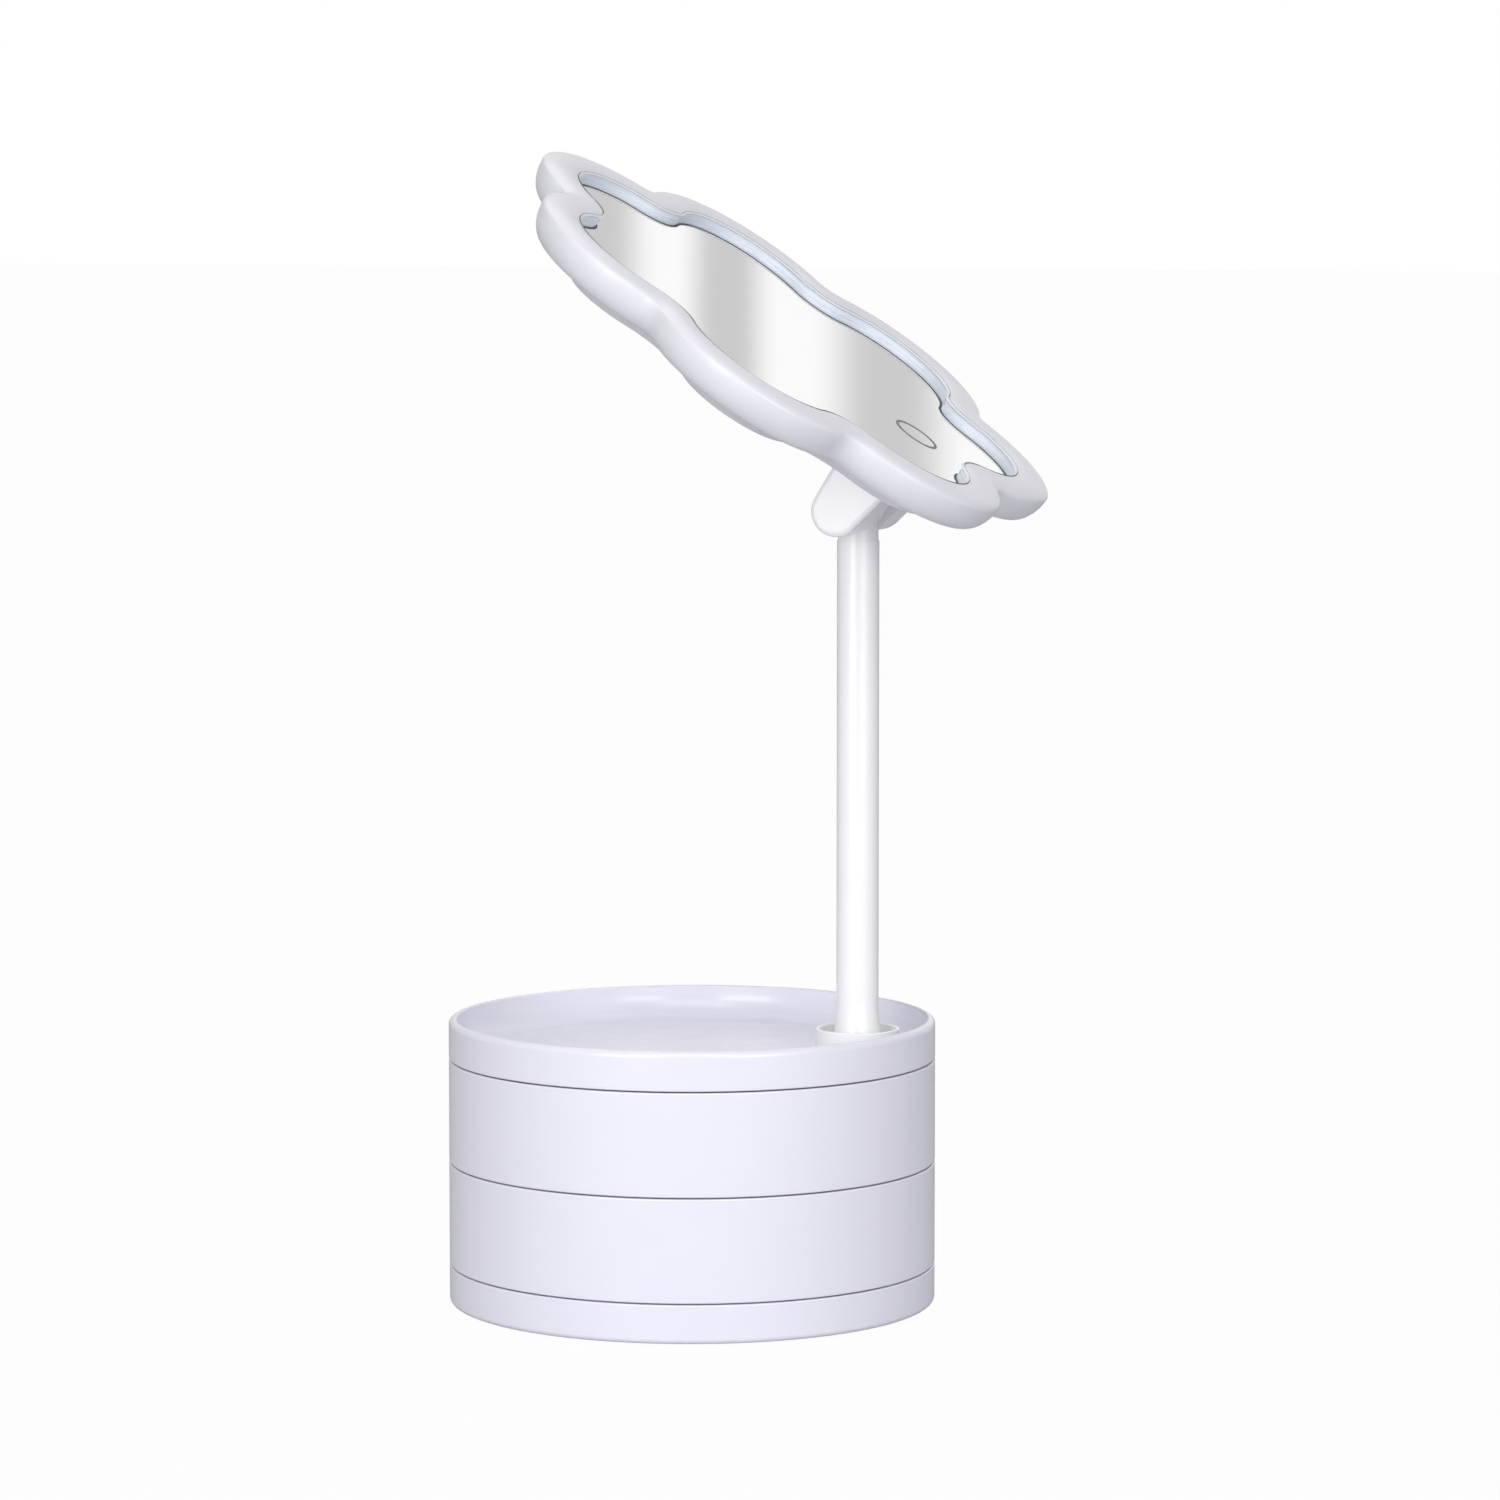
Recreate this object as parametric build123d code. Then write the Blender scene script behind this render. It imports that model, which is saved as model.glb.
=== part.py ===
from build123d import *
import math
import os

# Vanity mirror on a pole: a seven-petal lit mirror head that tilts on a pole, and a
# round storage base with a tray on top and two full-round drawers that swing out
# about the foot of the pole.
# Millimetres. +Z is up, the origin is on the floor under the middle of the base,
# and at rest the mirror looks towards -Y and up.

# ---------------------------------------------------------------- driving sizes
# Storage base
BASE_R = 80.0            # outer radius of every layer
PAD_PROUD = 0.8          # how far the non-slip pad stands below the bottom layer
PAD_MARGIN = 18.0        # from the outer edge to the pad
PAD_T = 1.6
BOTTOM_H = 12.7          # height of the bottom layer
DRAWER_H = 33.5          # height of each drawer
TRAY_H = 12.75           # height of the tray layer
LAYER_GAP = 0.45         # running gap between two layers
LAYER_EDGE = 0.5         # rounding of the layers' edges at a gap
FOOT_EDGE = 1.8          # rounding of the lowest edge
WALL = 2.3               # moulded wall of the bottom layer and the drawers
DRAWER_FLOOR = 2.0
DRAWER_COVE = 3.0        # rounding between a drawer's floor and wall
RIM_W = 2.6              # width of the tray's rim
RIM_OUT_R = 2.0          # rounding of the rim's outer edge
RIM_IN_R = 0.5
TRAY_FLOOR = 2.2
TRAY_COVE = 7.5          # wide rounding between the tray's floor and wall
COVER_T = 1.8            # plate that closes the bottom layer from below
COVER_STEP = 0.4         # the plate sits this far above the layer's lowest edge
BALLAST_MARGIN = 4.0     # from the pad's edge to the ballast's
BALLAST_T = 4.5
BASE_SCREWS = 4
SCREW_R = 1.5            # self-tapping screws of base and head
SCREW_HEAD_R = 2.9
SCREW_HEAD_T = 1.4
BOSS_R = 3.6             # plastic boss round a screw

# Pivot stack at the foot of the pole
POLE_MARGIN = 22.7       # from the outer edge to the pole's axis
SLEEVE_R = 6.5           # fixed post that the drawers turn about
SLEEVE_TOP_R = 5.5       # threaded top of the post
FLANGE_R = 13.0
FLANGE_T = 2.4
BUSH_WALL = 2.2
BUSH_RIM = 1.6           # how far a bush's collar stands out
BUSH_RIM_T = 1.2
HUB_WALL = 2.4           # drawer material round the bush
HUB_RIB_T = 3.0
GLIDE_R = 13.0
SLEEVE_NUT_R = 10.0
SLEEVE_NUT_T = 3.4
COLLAR_R = 13.75         # white ring that the pole stands in
COLLAR_WALL = 1.25
COLLAR_DROP = 0.9        # the ring's top lies this far below the rim
COLLAR_FLOOR_T = 1.2
COLLAR_DEPTH = 4.6       # from the ring's top to the floor inside
THRUST_T = 0.6
THRUST_R = 9.5

# Pole
POLE_R = 6.85
FOOT_R = 8.4             # flared foot
FLARE_H = 12.0
CORE_R = 5.0             # steel rod inside the pole
SPIGOT_R = 4.0           # its turned-down end, which turns in the post
STUD_R = 3.0             # threaded end below the post
POLE_NUT_AF = 10.0
POLE_NUT_T = 3.4
POLE_WASHER_R = 8.0
POLE_WASHER_T = 1.0
KNUCKLE_PLUG_H = 22.0
KNUCKLE_NECK = 10.5      # from the hinge axis to the top of the tube
NECK_STEP = 0.3          # the eye's neck is this much slimmer than the tube

# Head: outline of the glass, seven petals with rounded notches between them
PETALS = 7
TIP_R = 87.7             # middle of the glass to a petal's tip
NOTCH_R = 72.5           # middle of the glass to a notch
NOTCH_FILLET = 15.0
GLASS_T = 2.0
GLASS_GAP = 0.15
DIFFUSER_T = 1.6
LIP_UNDER = 2.1          # top of the light strip above the glass
LIP_T = 0.3              # the lip's edge, outwards from the glass
LIP_TOP = 2.6
CREST_T = 5.5            # highest line of the rim, outwards from the glass
CREST_TOP = 3.7
RIM_REACH = 13.7         # widest line of the rim, outwards from the glass
BELLY_Z = 1.0            # height of that widest line over the glass
BACK_T = 6.0             # flat edge behind, outwards from the glass
BACK_Z = -9.6
SHELL = 1.4              # moulded wall of the rim
REAR_SEAT = 1.6          # bezel material outside the rear cover
REAR_T = 1.5
PLATEAU_Z = -14.4        # back face of the raised housing
PLATEAU_FOOT_T = 2.5
PLATEAU_TOP_T = -7.0
CARRIER_T = 1.2
CARRIER_EDGE_T = 10.8
REAR_SCREW_R = 66.0
LED_BAND_T = 0.4
LED_BAND_OUT = 2.4       # inner side of the band, outwards from the glass
LED_BAND_H = 3.6
LEDS_PER_PETAL = 4
LED_W = 3.0
LED_H = 1.6
LED_T = 0.5
LED_RISE = 1.0           # lamps above the band's lower edge
LED_SPREAD = 0.8         # share of a petal's arc that its lamps cover
TOUCH_DROP = 53.6        # touch ring below the middle of the glass
TOUCH_R = 7.85
TOUCH_LINE = 1.0
TOUCH_T = 0.12
TOUCH_PAD_R = 7.0
TOUCH_PAD_T = 0.5
TOUCH_STEM_R = 2.5
BOARD_W = 44.0
BOARD_H = 32.0
BOARD_T = 1.2
BOARD_STANDOFF = 1.6
BOARD_Y = -45.0
BATTERY_W = 62.0
BATTERY_H = 42.0
BATTERY_T = 5.0
BATTERY_Y = 14.0
USB_W = 9.0
USB_H = 3.4
USB_WALL = 0.35
USB_TONGUE_T = 0.8
USB_TONGUE_W = 6.4
USB_TONGUE_SHORT = 1.2
USB_Y = -34.0
# Components on the board: x, y from the board's middle, width, height, thickness
COMPONENTS = ((-12.0, 2.0, 7.0, 7.0, 1.1), (11.0, 4.0, 6.0, 6.0, 2.4), (-11.0, -9.0, 5.0, 4.0, 1.4),
              (12.0, -8.0, 4.0, 5.0, 1.4))
BATTERY_CORNER_R = 2.0

# Hinge between pole and head
TILT = 54.62             # how far the mirror's face is turned up at rest, degrees
HINGE_Z = 263.3          # hinge axis above the floor
HINGE_BACK = 30.9        # hinge axis behind the glass
HINGE_DROP = 51.42       # hinge axis below the middle of the glass
BRACKET_HALF_W = 24.5
EAR_R = 8.2
EAR_FLARE_TOP = 4.0      # the upper flank opens by this angle towards the head, degrees
EAR_FLARE_FOOT = 11.0    # and the lower flank by this one
EAR_EDGE = 1.6
FLANGE_PLATE_T = 2.2
FRICTION_T = 1.2
FRICTION_R = 6.4
BOLT_R = 2.5
BOLT_HEAD_R = 4.4
BOLT_HEAD_T = 3.0
BOLT_END = 14.0
CAP_R = 5.0
CAP_T = 1.3
HINGE_NUT_AF = 8.0
HINGE_NUT_T = 4.0
BRACKET_SCREW_X = 18.0
BRACKET_SCREW_Y = 7.0
BRACKET_SCREW_L = 7.0

# Named clearances
RUN = 0.06               # radial, a shaft that turns in a bore
FIT = 0.15               # radial, parts that are assembled and stay
ASSEMBLY = 0.3           # between plates and the walls round them
COUNTERSINK_GAP = 0.1
PAST = 1.0               # how far a cutting shape runs past what it cuts
SCREW_END = 1.0          # a screw ends this far short of the wall before it
SAME = 1e-4              # two levels or radii this close are the same

# ---------------------------------------------------------------- levels worked out
PAD_R = BASE_R - PAD_MARGIN
BALLAST_R = PAD_R - BALLAST_MARGIN
POLE_OFFSET = BASE_R - POLE_MARGIN
BOTTOM_LOW = PAD_PROUD
BOTTOM_TOP = BOTTOM_LOW + BOTTOM_H
LOWER_LOW = BOTTOM_TOP + LAYER_GAP
UPPER_LOW = LOWER_LOW + DRAWER_H + LAYER_GAP
TRAY_LOW = UPPER_LOW + DRAWER_H + LAYER_GAP
TRAY_TOP = TRAY_LOW + TRAY_H
TRAY_DECK = TRAY_LOW + TRAY_FLOOR
BOTTOM_DECK = BOTTOM_TOP - WALL
COVER_LOW = BOTTOM_LOW + COVER_STEP
COVER_TOP = COVER_LOW + COVER_T
COVER_R = BASE_R - WALL - ASSEMBLY
BASE_SCREW_PCD_R = (PAD_R + ASSEMBLY + COVER_R) / 2
BASE_SCREW_ANGLE = 360.0 / BASE_SCREWS / 2
BUSH_R = SLEEVE_R + BUSH_WALL
HUB_R = BUSH_R + HUB_WALL
SLEEVE_LOW = BOTTOM_DECK - FLANGE_T
COLLAR_TOP = TRAY_TOP - COLLAR_DROP
COLLAR_DECK = COLLAR_TOP - COLLAR_DEPTH
POLE_LOW = COLLAR_DECK + THRUST_T
POLE_TOP = HINGE_Z - KNUCKLE_NECK
STUD_LOW = SLEEVE_LOW - POLE_WASHER_T - POLE_NUT_T
GLASS_BACK = -GLASS_T
CARRIER_BACK = GLASS_BACK - CARRIER_T
REAR_INNER = PLATEAU_Z + REAR_T
SLOT_HALF = POLE_R + FRICTION_T

HALF_PETAL = math.pi / PETALS
NOTCH_C = NOTCH_R + NOTCH_FILLET
PETAL_SUM = TIP_R + NOTCH_FILLET
PETAL_C = (PETAL_SUM ** 2 - NOTCH_C ** 2) / (2 * (PETAL_SUM - NOTCH_C * math.cos(HALF_PETAL)))
PETAL_R = TIP_R - PETAL_C
FIRST_PETAL = 90.0
PETAL_STEP = 360.0 / PETALS

TILT_RAD = math.radians(TILT)
OUT = Vector(0, -math.cos(TILT_RAD), math.sin(TILT_RAD))
ALONG = Vector(0, math.sin(TILT_RAD), math.cos(TILT_RAD))
HINGE = Vector(0, -POLE_OFFSET, HINGE_Z)
GLASS_CENTRE = HINGE + OUT * HINGE_BACK + ALONG * HINGE_DROP
HEAD = Plane(origin=GLASS_CENTRE, x_dir=(1, 0, 0), z_dir=OUT).location

AT_POLE = Pos(0, -POLE_OFFSET, 0)


# ---------------------------------------------------------------- shape helpers
def disc(radius, low, high):
    """Upright cylinder between two levels."""
    return Pos(0, 0, low) * extrude(Circle(radius), amount=high - low)


def ring(outer, inner, low, high):
    """Upright tube between two levels."""
    return disc(outer, low, high) - disc(inner, low - PAST, high + PAST)


def block(width, depth, low, high):
    """Upright box centred on its axis between two levels."""
    return Pos(0, 0, low) * extrude(Rectangle(width, depth), amount=high - low)


def hexagon(across_flats, low, high):
    """Hexagonal prism between two levels."""
    return Pos(0, 0, low) * extrude(RegularPolygon(across_flats / 2, 6, major_radius=False),
                                    amount=high - low)


def turned(points):
    """Solid of revolution about Z from corners given as (radius, height)."""
    return revolve(make_face(Polyline(*[(r, 0, z) for r, z in points], close=True)), Axis.Z)


def spaced(shape, count, radius, start=0.0):
    """Copies of a shape at equal angles round Z."""
    return [Rot(0, 0, start + 360.0 * k / count) * Pos(radius, 0, 0) * shape for k in range(count)]


def screw(head_low, length):
    """Countersunk screw that points up from its head."""
    return turned([(0, head_low), (SCREW_HEAD_R, head_low),
                   (SCREW_R, head_low + SCREW_HEAD_T), (SCREW_R, head_low + length), (0, head_low + length)])


def screw_hole(head_low, length):
    """Countersunk hole for that screw, with room round the head."""
    wide = SCREW_HEAD_R + COUNTERSINK_GAP
    narrow = SCREW_R + COUNTERSINK_GAP
    return turned([(0, head_low - PAST), (wide, head_low - PAST), (wide, head_low),
                   (narrow, head_low + SCREW_HEAD_T), (narrow, head_low + length), (0, head_low + length)])


def round_edges(shape, radius, level):
    """Rounds the circular edges that lie wholly at one level."""
    edges = [e for e in shape.edges()
             if abs(e.bounding_box().min.Z - level) < SAME and abs(e.bounding_box().max.Z - level) < SAME]
    return fillet(edges, radius)


def round_outer_edge(shape, radius, level):
    """Rounds the base's outer edge at one level."""
    edges = [e for e in shape.edges().filter_by(GeomType.CIRCLE)
             if abs(e.radius - BASE_R) < SAME and abs(e.center().Z - level) < SAME]
    return fillet(edges, radius)


# ---------------------------------------------------------------- petal outline
def polar(radius, angle):
    """Point at a radius and an angle from the middle."""
    return radius * math.cos(angle), radius * math.sin(angle)


def on_circle(centre_angle, centre_r, angle, radius):
    """Point at an angle and radius about a centre that is itself given by angle and radius."""
    return (centre_r * math.cos(centre_angle) + radius * math.cos(centre_angle + angle),
            centre_r * math.sin(centre_angle) + radius * math.sin(centre_angle + angle))


def petal_sweep(reach):
    """Half the angle of a petal's arc, and the notch radius, for an outline moved out by reach."""
    notch = NOTCH_FILLET - reach
    if notch > 0:
        return math.atan2(NOTCH_C * math.sin(HALF_PETAL),
                          NOTCH_C * math.cos(HALF_PETAL) - PETAL_C), notch
    side = PETAL_C * math.sin(HALF_PETAL)
    meet = PETAL_C * math.cos(HALF_PETAL) + math.sqrt((PETAL_R + reach) ** 2 - side ** 2)
    return math.atan2(meet * math.sin(HALF_PETAL), meet * math.cos(HALF_PETAL) - PETAL_C), 0.0


def flower(reach, level=0.0):
    """Face of the petal outline, moved outwards from the glass edge by reach."""
    sweep, notch = petal_sweep(reach)
    radius = PETAL_R + reach
    edges = []
    for k in range(PETALS):
        middle = math.radians(FIRST_PETAL + PETAL_STEP * k)
        start, top, end = (on_circle(middle, PETAL_C, a, radius) for a in (-sweep, 0.0, sweep))
        edges.append(Edge.make_three_point_arc((*start, level), (*top, level), (*end, level)))
        if notch > 0:
            deep = on_circle(middle + HALF_PETAL, NOTCH_C, math.pi, notch)
            following = on_circle(middle + 2 * HALF_PETAL, PETAL_C, -sweep, radius)
            edges.append(Edge.make_three_point_arc((*end, level), (*deep, level), (*following, level)))
    return Face(Wire(edges))


def petal_plate(reach, low, high):
    """Plate with the petal outline between two levels."""
    return extrude(flower(reach, low), amount=high - low, dir=(0, 0, 1))


def petal_band(inner, outer, low, high):
    """Band between two petal outlines and two levels."""
    return petal_plate(outer, low, high) - petal_plate(inner, low - PAST, high + PAST)


def wedge(corners):
    """Tall prism over corners, used to keep one stretch of a turned rim."""
    tall = RIM_REACH - BACK_Z
    return Pos(0, 0, -tall) * extrude(make_face(Polyline(*[(x, y) for x, y in corners], close=True)),
                                      amount=2 * tall)


def rise_arc(lip, crest):
    """Gentle arc from the lip's edge up to the crest, level at the crest."""
    run, rise = crest[0] - lip[0], crest[1] - lip[1]
    radius = (run ** 2 + rise ** 2) / (2 * rise)
    half = math.asin(run / radius) / 2
    middle = (crest[0] - radius * math.sin(half), crest[1] - radius * (1 - math.cos(half)))
    return ThreePointArc(lip, middle, crest)


def rim_section():
    """Hollow C section of the puffy rim: x is outwards from the glass edge, y is up from the glass."""
    lip = (LIP_T, LIP_TOP)
    crest = (CREST_T, CREST_TOP)
    seat = BACK_T - REAR_SEAT
    outer = [rise_arc(lip, crest),
             EllipticalCenterArc((CREST_T, BELLY_Z), RIM_REACH - CREST_T, CREST_TOP - BELLY_Z,
                                 start_angle=0, arc_size=90),
             EllipticalCenterArc((BACK_T, BELLY_Z), RIM_REACH - BACK_T, BELLY_Z - BACK_Z,
                                 start_angle=270, arc_size=90)]
    inner_back = BACK_Z + SHELL
    inner = [EllipticalCenterArc((CREST_T, BELLY_Z), RIM_REACH - SHELL - CREST_T, LIP_UNDER - BELLY_Z,
                                 start_angle=0, arc_size=90),
             EllipticalCenterArc((BACK_T, BELLY_Z), RIM_REACH - SHELL - BACK_T, BELLY_Z - inner_back,
                                 start_angle=270, arc_size=90)]
    ends = [Polyline(lip, (LIP_T, LIP_UNDER), (CREST_T, LIP_UNDER)),
            Polyline((BACK_T, inner_back), (seat, inner_back), (seat, BACK_Z), (BACK_T, BACK_Z))]
    return Rot(90, 0, 0) * make_face(outer + inner + ends)


def petal_rim():
    """Rim that follows the petal outline, turned petal by petal and notch by notch."""
    section = rim_section()
    far = 2 * TIP_R
    petal = Pos(PETAL_C, 0, 0) * revolve(Pos(PETAL_R, 0, 0) * section, Axis.Z)
    petal &= wedge([polar(PETAL_C, 0), polar(NOTCH_C, HALF_PETAL), polar(far, HALF_PETAL),
                    polar(far, -HALF_PETAL), polar(NOTCH_C, -HALF_PETAL)])
    inward = Pos(NOTCH_FILLET, 0, 0) * mirror(section, about=Plane.YZ)
    keep = Pos(NOTCH_FILLET / 2, 0, 0) * Rot(90, 0, 0) * Rectangle(NOTCH_FILLET, 2 * (RIM_REACH - BACK_Z))
    notch = Rot(0, 0, math.degrees(HALF_PETAL)) * Pos(NOTCH_C, 0, 0) * revolve(inward & keep, Axis.Z)
    notch &= wedge([polar(NOTCH_C, HALF_PETAL), polar(PETAL_C, 0), polar(PETAL_C, 2 * HALF_PETAL)])
    pieces = []
    for k in range(PETALS):
        turn = Rot(0, 0, FIRST_PETAL + PETAL_STEP * k)
        pieces += [turn * petal, turn * notch]
    return pieces[0].fuse(*pieces[1:])


# ---------------------------------------------------------------- storage base
def base_pad():
    """Non-slip foam disc that the whole object stands on."""
    return disc(PAD_R, 0, PAD_T)


def base_shell():
    """Bottom layer: an upturned cup with screw bosses and a hub under the post."""
    shell = disc(BASE_R, BOTTOM_LOW, BOTTOM_TOP) - disc(BASE_R - WALL, BOTTOM_LOW - PAST, BOTTOM_DECK)
    shell = round_outer_edge(shell, LAYER_EDGE, BOTTOM_TOP)
    shell = round_outer_edge(shell, FOOT_EDGE, BOTTOM_LOW)
    for boss in spaced(disc(BOSS_R, COVER_TOP, BOTTOM_DECK + WALL / 2), BASE_SCREWS, BASE_SCREW_PCD_R,
                       BASE_SCREW_ANGLE):
        shell += boss
    for hole in spaced(disc(SCREW_R, COVER_TOP - PAST, BOTTOM_DECK), BASE_SCREWS, BASE_SCREW_PCD_R,
                       BASE_SCREW_ANGLE):
        shell -= hole
    return shell - AT_POLE * disc(SLEEVE_R + FIT, BOTTOM_DECK - PAST, BOTTOM_TOP + PAST)


def base_cover():
    """Plate that closes the bottom layer, recessed for the pad."""
    cover = disc(COVER_R, COVER_LOW, COVER_TOP) - disc(PAD_R + ASSEMBLY, COVER_LOW - PAST, PAD_T)
    for hole in spaced(screw_hole(COVER_LOW, BOTTOM_H), BASE_SCREWS, BASE_SCREW_PCD_R, BASE_SCREW_ANGLE):
        cover -= hole
    return cover


def base_screws():
    """Screws that hold the cover."""
    return spaced(screw(COVER_LOW, BOTTOM_DECK - COVER_LOW - SCREW_END), BASE_SCREWS, BASE_SCREW_PCD_R,
                  BASE_SCREW_ANGLE)


def ballast_plate():
    """Steel disc that weighs the base down, cut away round the post's foot."""
    plate = disc(BALLAST_R, COVER_TOP, COVER_TOP + BALLAST_T)
    return plate - AT_POLE * disc(FLANGE_R + 2 * ASSEMBLY, COVER_TOP - PAST, BOTTOM_TOP)


def pivot_sleeve():
    """Fixed steel post: a flange under the bottom layer and a threaded top above the tray."""
    shoulder = TRAY_LOW
    top = TRAY_DECK + SLEEVE_NUT_T
    body = turned([(0, SLEEVE_LOW), (FLANGE_R, SLEEVE_LOW), (FLANGE_R, BOTTOM_DECK), (SLEEVE_R, BOTTOM_DECK),
                   (SLEEVE_R, shoulder), (SLEEVE_TOP_R, shoulder), (SLEEVE_TOP_R, top), (0, top)])
    return AT_POLE * (body - disc(SPIGOT_R + RUN, SLEEVE_LOW - PAST, top + PAST))


def sleeve_nut():
    """Round nut that clamps the tray on the post."""
    return AT_POLE * ring(SLEEVE_NUT_R, SLEEVE_TOP_R, TRAY_DECK, TRAY_DECK + SLEEVE_NUT_T)


def glide_washers():
    """Thin washers that keep the layers apart at the post."""
    lows = (BOTTOM_TOP, LOWER_LOW + DRAWER_H, UPPER_LOW + DRAWER_H)
    return [AT_POLE * ring(GLIDE_R, SLEEVE_R + FIT, low, low + LAYER_GAP) for low in lows]


def pole_collar():
    """White ring with a floor inside, in which the pole's foot stands."""
    body = ring(COLLAR_R, COLLAR_R - COLLAR_WALL, TRAY_DECK, COLLAR_TOP)
    body += ring(COLLAR_R - COLLAR_WALL / 2, SPIGOT_R + FIT, COLLAR_DECK - COLLAR_FLOOR_T, COLLAR_DECK)
    outer = [e for e in body.edges().filter_by(GeomType.CIRCLE)
             if abs(e.center().Z - COLLAR_TOP) < SAME]
    return AT_POLE * fillet(outer, COLLAR_WALL / 3)


def thrust_washer():
    """Washer between the collar's floor and the pole's foot."""
    return AT_POLE * ring(THRUST_R, SPIGOT_R + FIT, COLLAR_DECK, COLLAR_DECK + THRUST_T)


def top_tray():
    """Shallow dish with a thin rim and a wide rounding between floor and wall."""
    tray = disc(BASE_R, TRAY_LOW, TRAY_TOP)
    tray = round_outer_edge(tray, LAYER_EDGE, TRAY_LOW)
    tray = round_outer_edge(tray, RIM_OUT_R, TRAY_TOP)
    dish = disc(BASE_R - RIM_W, TRAY_DECK, TRAY_TOP + PAST)
    tray -= round_edges(dish, TRAY_COVE, TRAY_DECK)
    lip = [e for e in tray.edges().filter_by(GeomType.CIRCLE)
           if abs(e.radius - BASE_R + RIM_W) < SAME and abs(e.center().Z - TRAY_TOP) < SAME]
    tray = fillet(lip, RIM_IN_R)
    return tray - AT_POLE * (disc(SLEEVE_TOP_R + FIT, TRAY_LOW - PAST, TRAY_TOP)
                             + disc(COLLAR_R + FIT, TRAY_DECK, TRAY_TOP + PAST))


def drawer(low):
    """Full-round open drawer with a hub that turns about the post."""
    top = low + DRAWER_H
    inner = BASE_R - WALL
    cup = disc(BASE_R, low, top)
    cup = round_outer_edge(cup, LAYER_EDGE, low)
    cup = round_outer_edge(cup, LAYER_EDGE, top)
    hollow = round_edges(disc(inner, low + DRAWER_FLOOR, top + PAST), DRAWER_COVE, low + DRAWER_FLOOR)
    hub = AT_POLE * disc(HUB_R, low + DRAWER_FLOOR / 2, top)
    rib_depth = BASE_R - WALL / 2 - POLE_OFFSET
    rib = block(HUB_RIB_T, rib_depth, low + DRAWER_FLOOR / 2, top - WALL)
    rib = Pos(0, -POLE_OFFSET - rib_depth / 2, 0) * rib
    rim_seat = disc(BUSH_R + BUSH_RIM, low - PAST, low + BUSH_RIM_T)
    bore = AT_POLE * (disc(BUSH_R, low - PAST, top + PAST) + rim_seat)
    return cup - hollow + hub + rib - bore


def drawer_bush(low):
    """Flanged plastic bush pressed in a drawer's hub."""
    body = disc(BUSH_R, low, low + DRAWER_H) + disc(BUSH_R + BUSH_RIM, low, low + BUSH_RIM_T)
    return AT_POLE * (body - disc(SLEEVE_R + RUN, low - PAST, low + DRAWER_H + PAST))


# ---------------------------------------------------------------- pole
def pole_tube():
    """Straight tube with a flared foot."""
    bore = disc(CORE_R, POLE_LOW - PAST, POLE_TOP + PAST)
    foot = revolve(make_face([
        Polyline((POLE_R, 0, POLE_LOW + FLARE_H), (POLE_R, 0, POLE_TOP), (0, 0, POLE_TOP), (0, 0, POLE_LOW),
                 (FOOT_R, 0, POLE_LOW)),
        TangentArc((POLE_R, 0, POLE_LOW + FLARE_H), (FOOT_R, 0, POLE_LOW), tangent=(0, 0, -1))]), Axis.Z)
    return AT_POLE * (foot - bore)


def pole_core():
    """Steel rod in the pole, turned down to run in the post and threaded at its end."""
    high = POLE_TOP - KNUCKLE_PLUG_H
    return AT_POLE * turned([(0, STUD_LOW), (STUD_R, STUD_LOW), (STUD_R, SLEEVE_LOW + ASSEMBLY),
                             (SPIGOT_R, SLEEVE_LOW + ASSEMBLY), (SPIGOT_R, POLE_LOW), (CORE_R, POLE_LOW),
                             (CORE_R, high), (0, high)])


def pole_washer():
    """Washer below the post."""
    return AT_POLE * ring(POLE_WASHER_R, STUD_R, SLEEVE_LOW - POLE_WASHER_T, SLEEVE_LOW)


def pole_nut():
    """Nut that keeps the pole down in the post."""
    body = hexagon(POLE_NUT_AF, STUD_LOW, STUD_LOW + POLE_NUT_T)
    return AT_POLE * (body - disc(STUD_R, STUD_LOW - PAST, SLEEVE_LOW))


def pole_knuckle():
    """Plug in the tube that ends in the round eye of the hinge."""
    plug = disc(CORE_R, POLE_TOP - KNUCKLE_PLUG_H, POLE_TOP)
    neck = disc(POLE_R - NECK_STEP, POLE_TOP, HINGE_Z)
    eye = Pos(0, 0, HINGE_Z) * Rot(0, 90, 0) * Cylinder(POLE_R, 2 * POLE_R)
    hole = Pos(0, 0, HINGE_Z) * Rot(0, 90, 0) * Cylinder(BOLT_R + RUN, 4 * POLE_R)
    return AT_POLE * (plug + neck + eye - hole)


# ---------------------------------------------------------------- hinge, in the head's own frame
def across(shape):
    """Lays a shape that was built along Z at the origin on the hinge axis, along X."""
    return Pos(0, -HINGE_DROP, -HINGE_BACK) * Rot(0, 90, 0) * shape


def ear_profile():
    """Round end about the hinge axis whose flanks open towards the head, each by its own angle."""
    rise = HINGE_BACK + PLATEAU_Z
    flanks = []
    for side, flare in ((1, math.radians(EAR_FLARE_TOP)), (-1, math.radians(EAR_FLARE_FOOT))):
        touch = (side * EAR_R * math.cos(flare), -EAR_R * math.sin(flare))
        foot = (touch[0] + side * (rise - touch[1]) * math.tan(flare), rise)
        flanks.append((touch, foot))
    (top, top_foot), (low, low_foot) = flanks
    return make_face([ThreePointArc(low, (0, -EAR_R), top), Polyline(top, top_foot, low_foot, low)])


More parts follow.
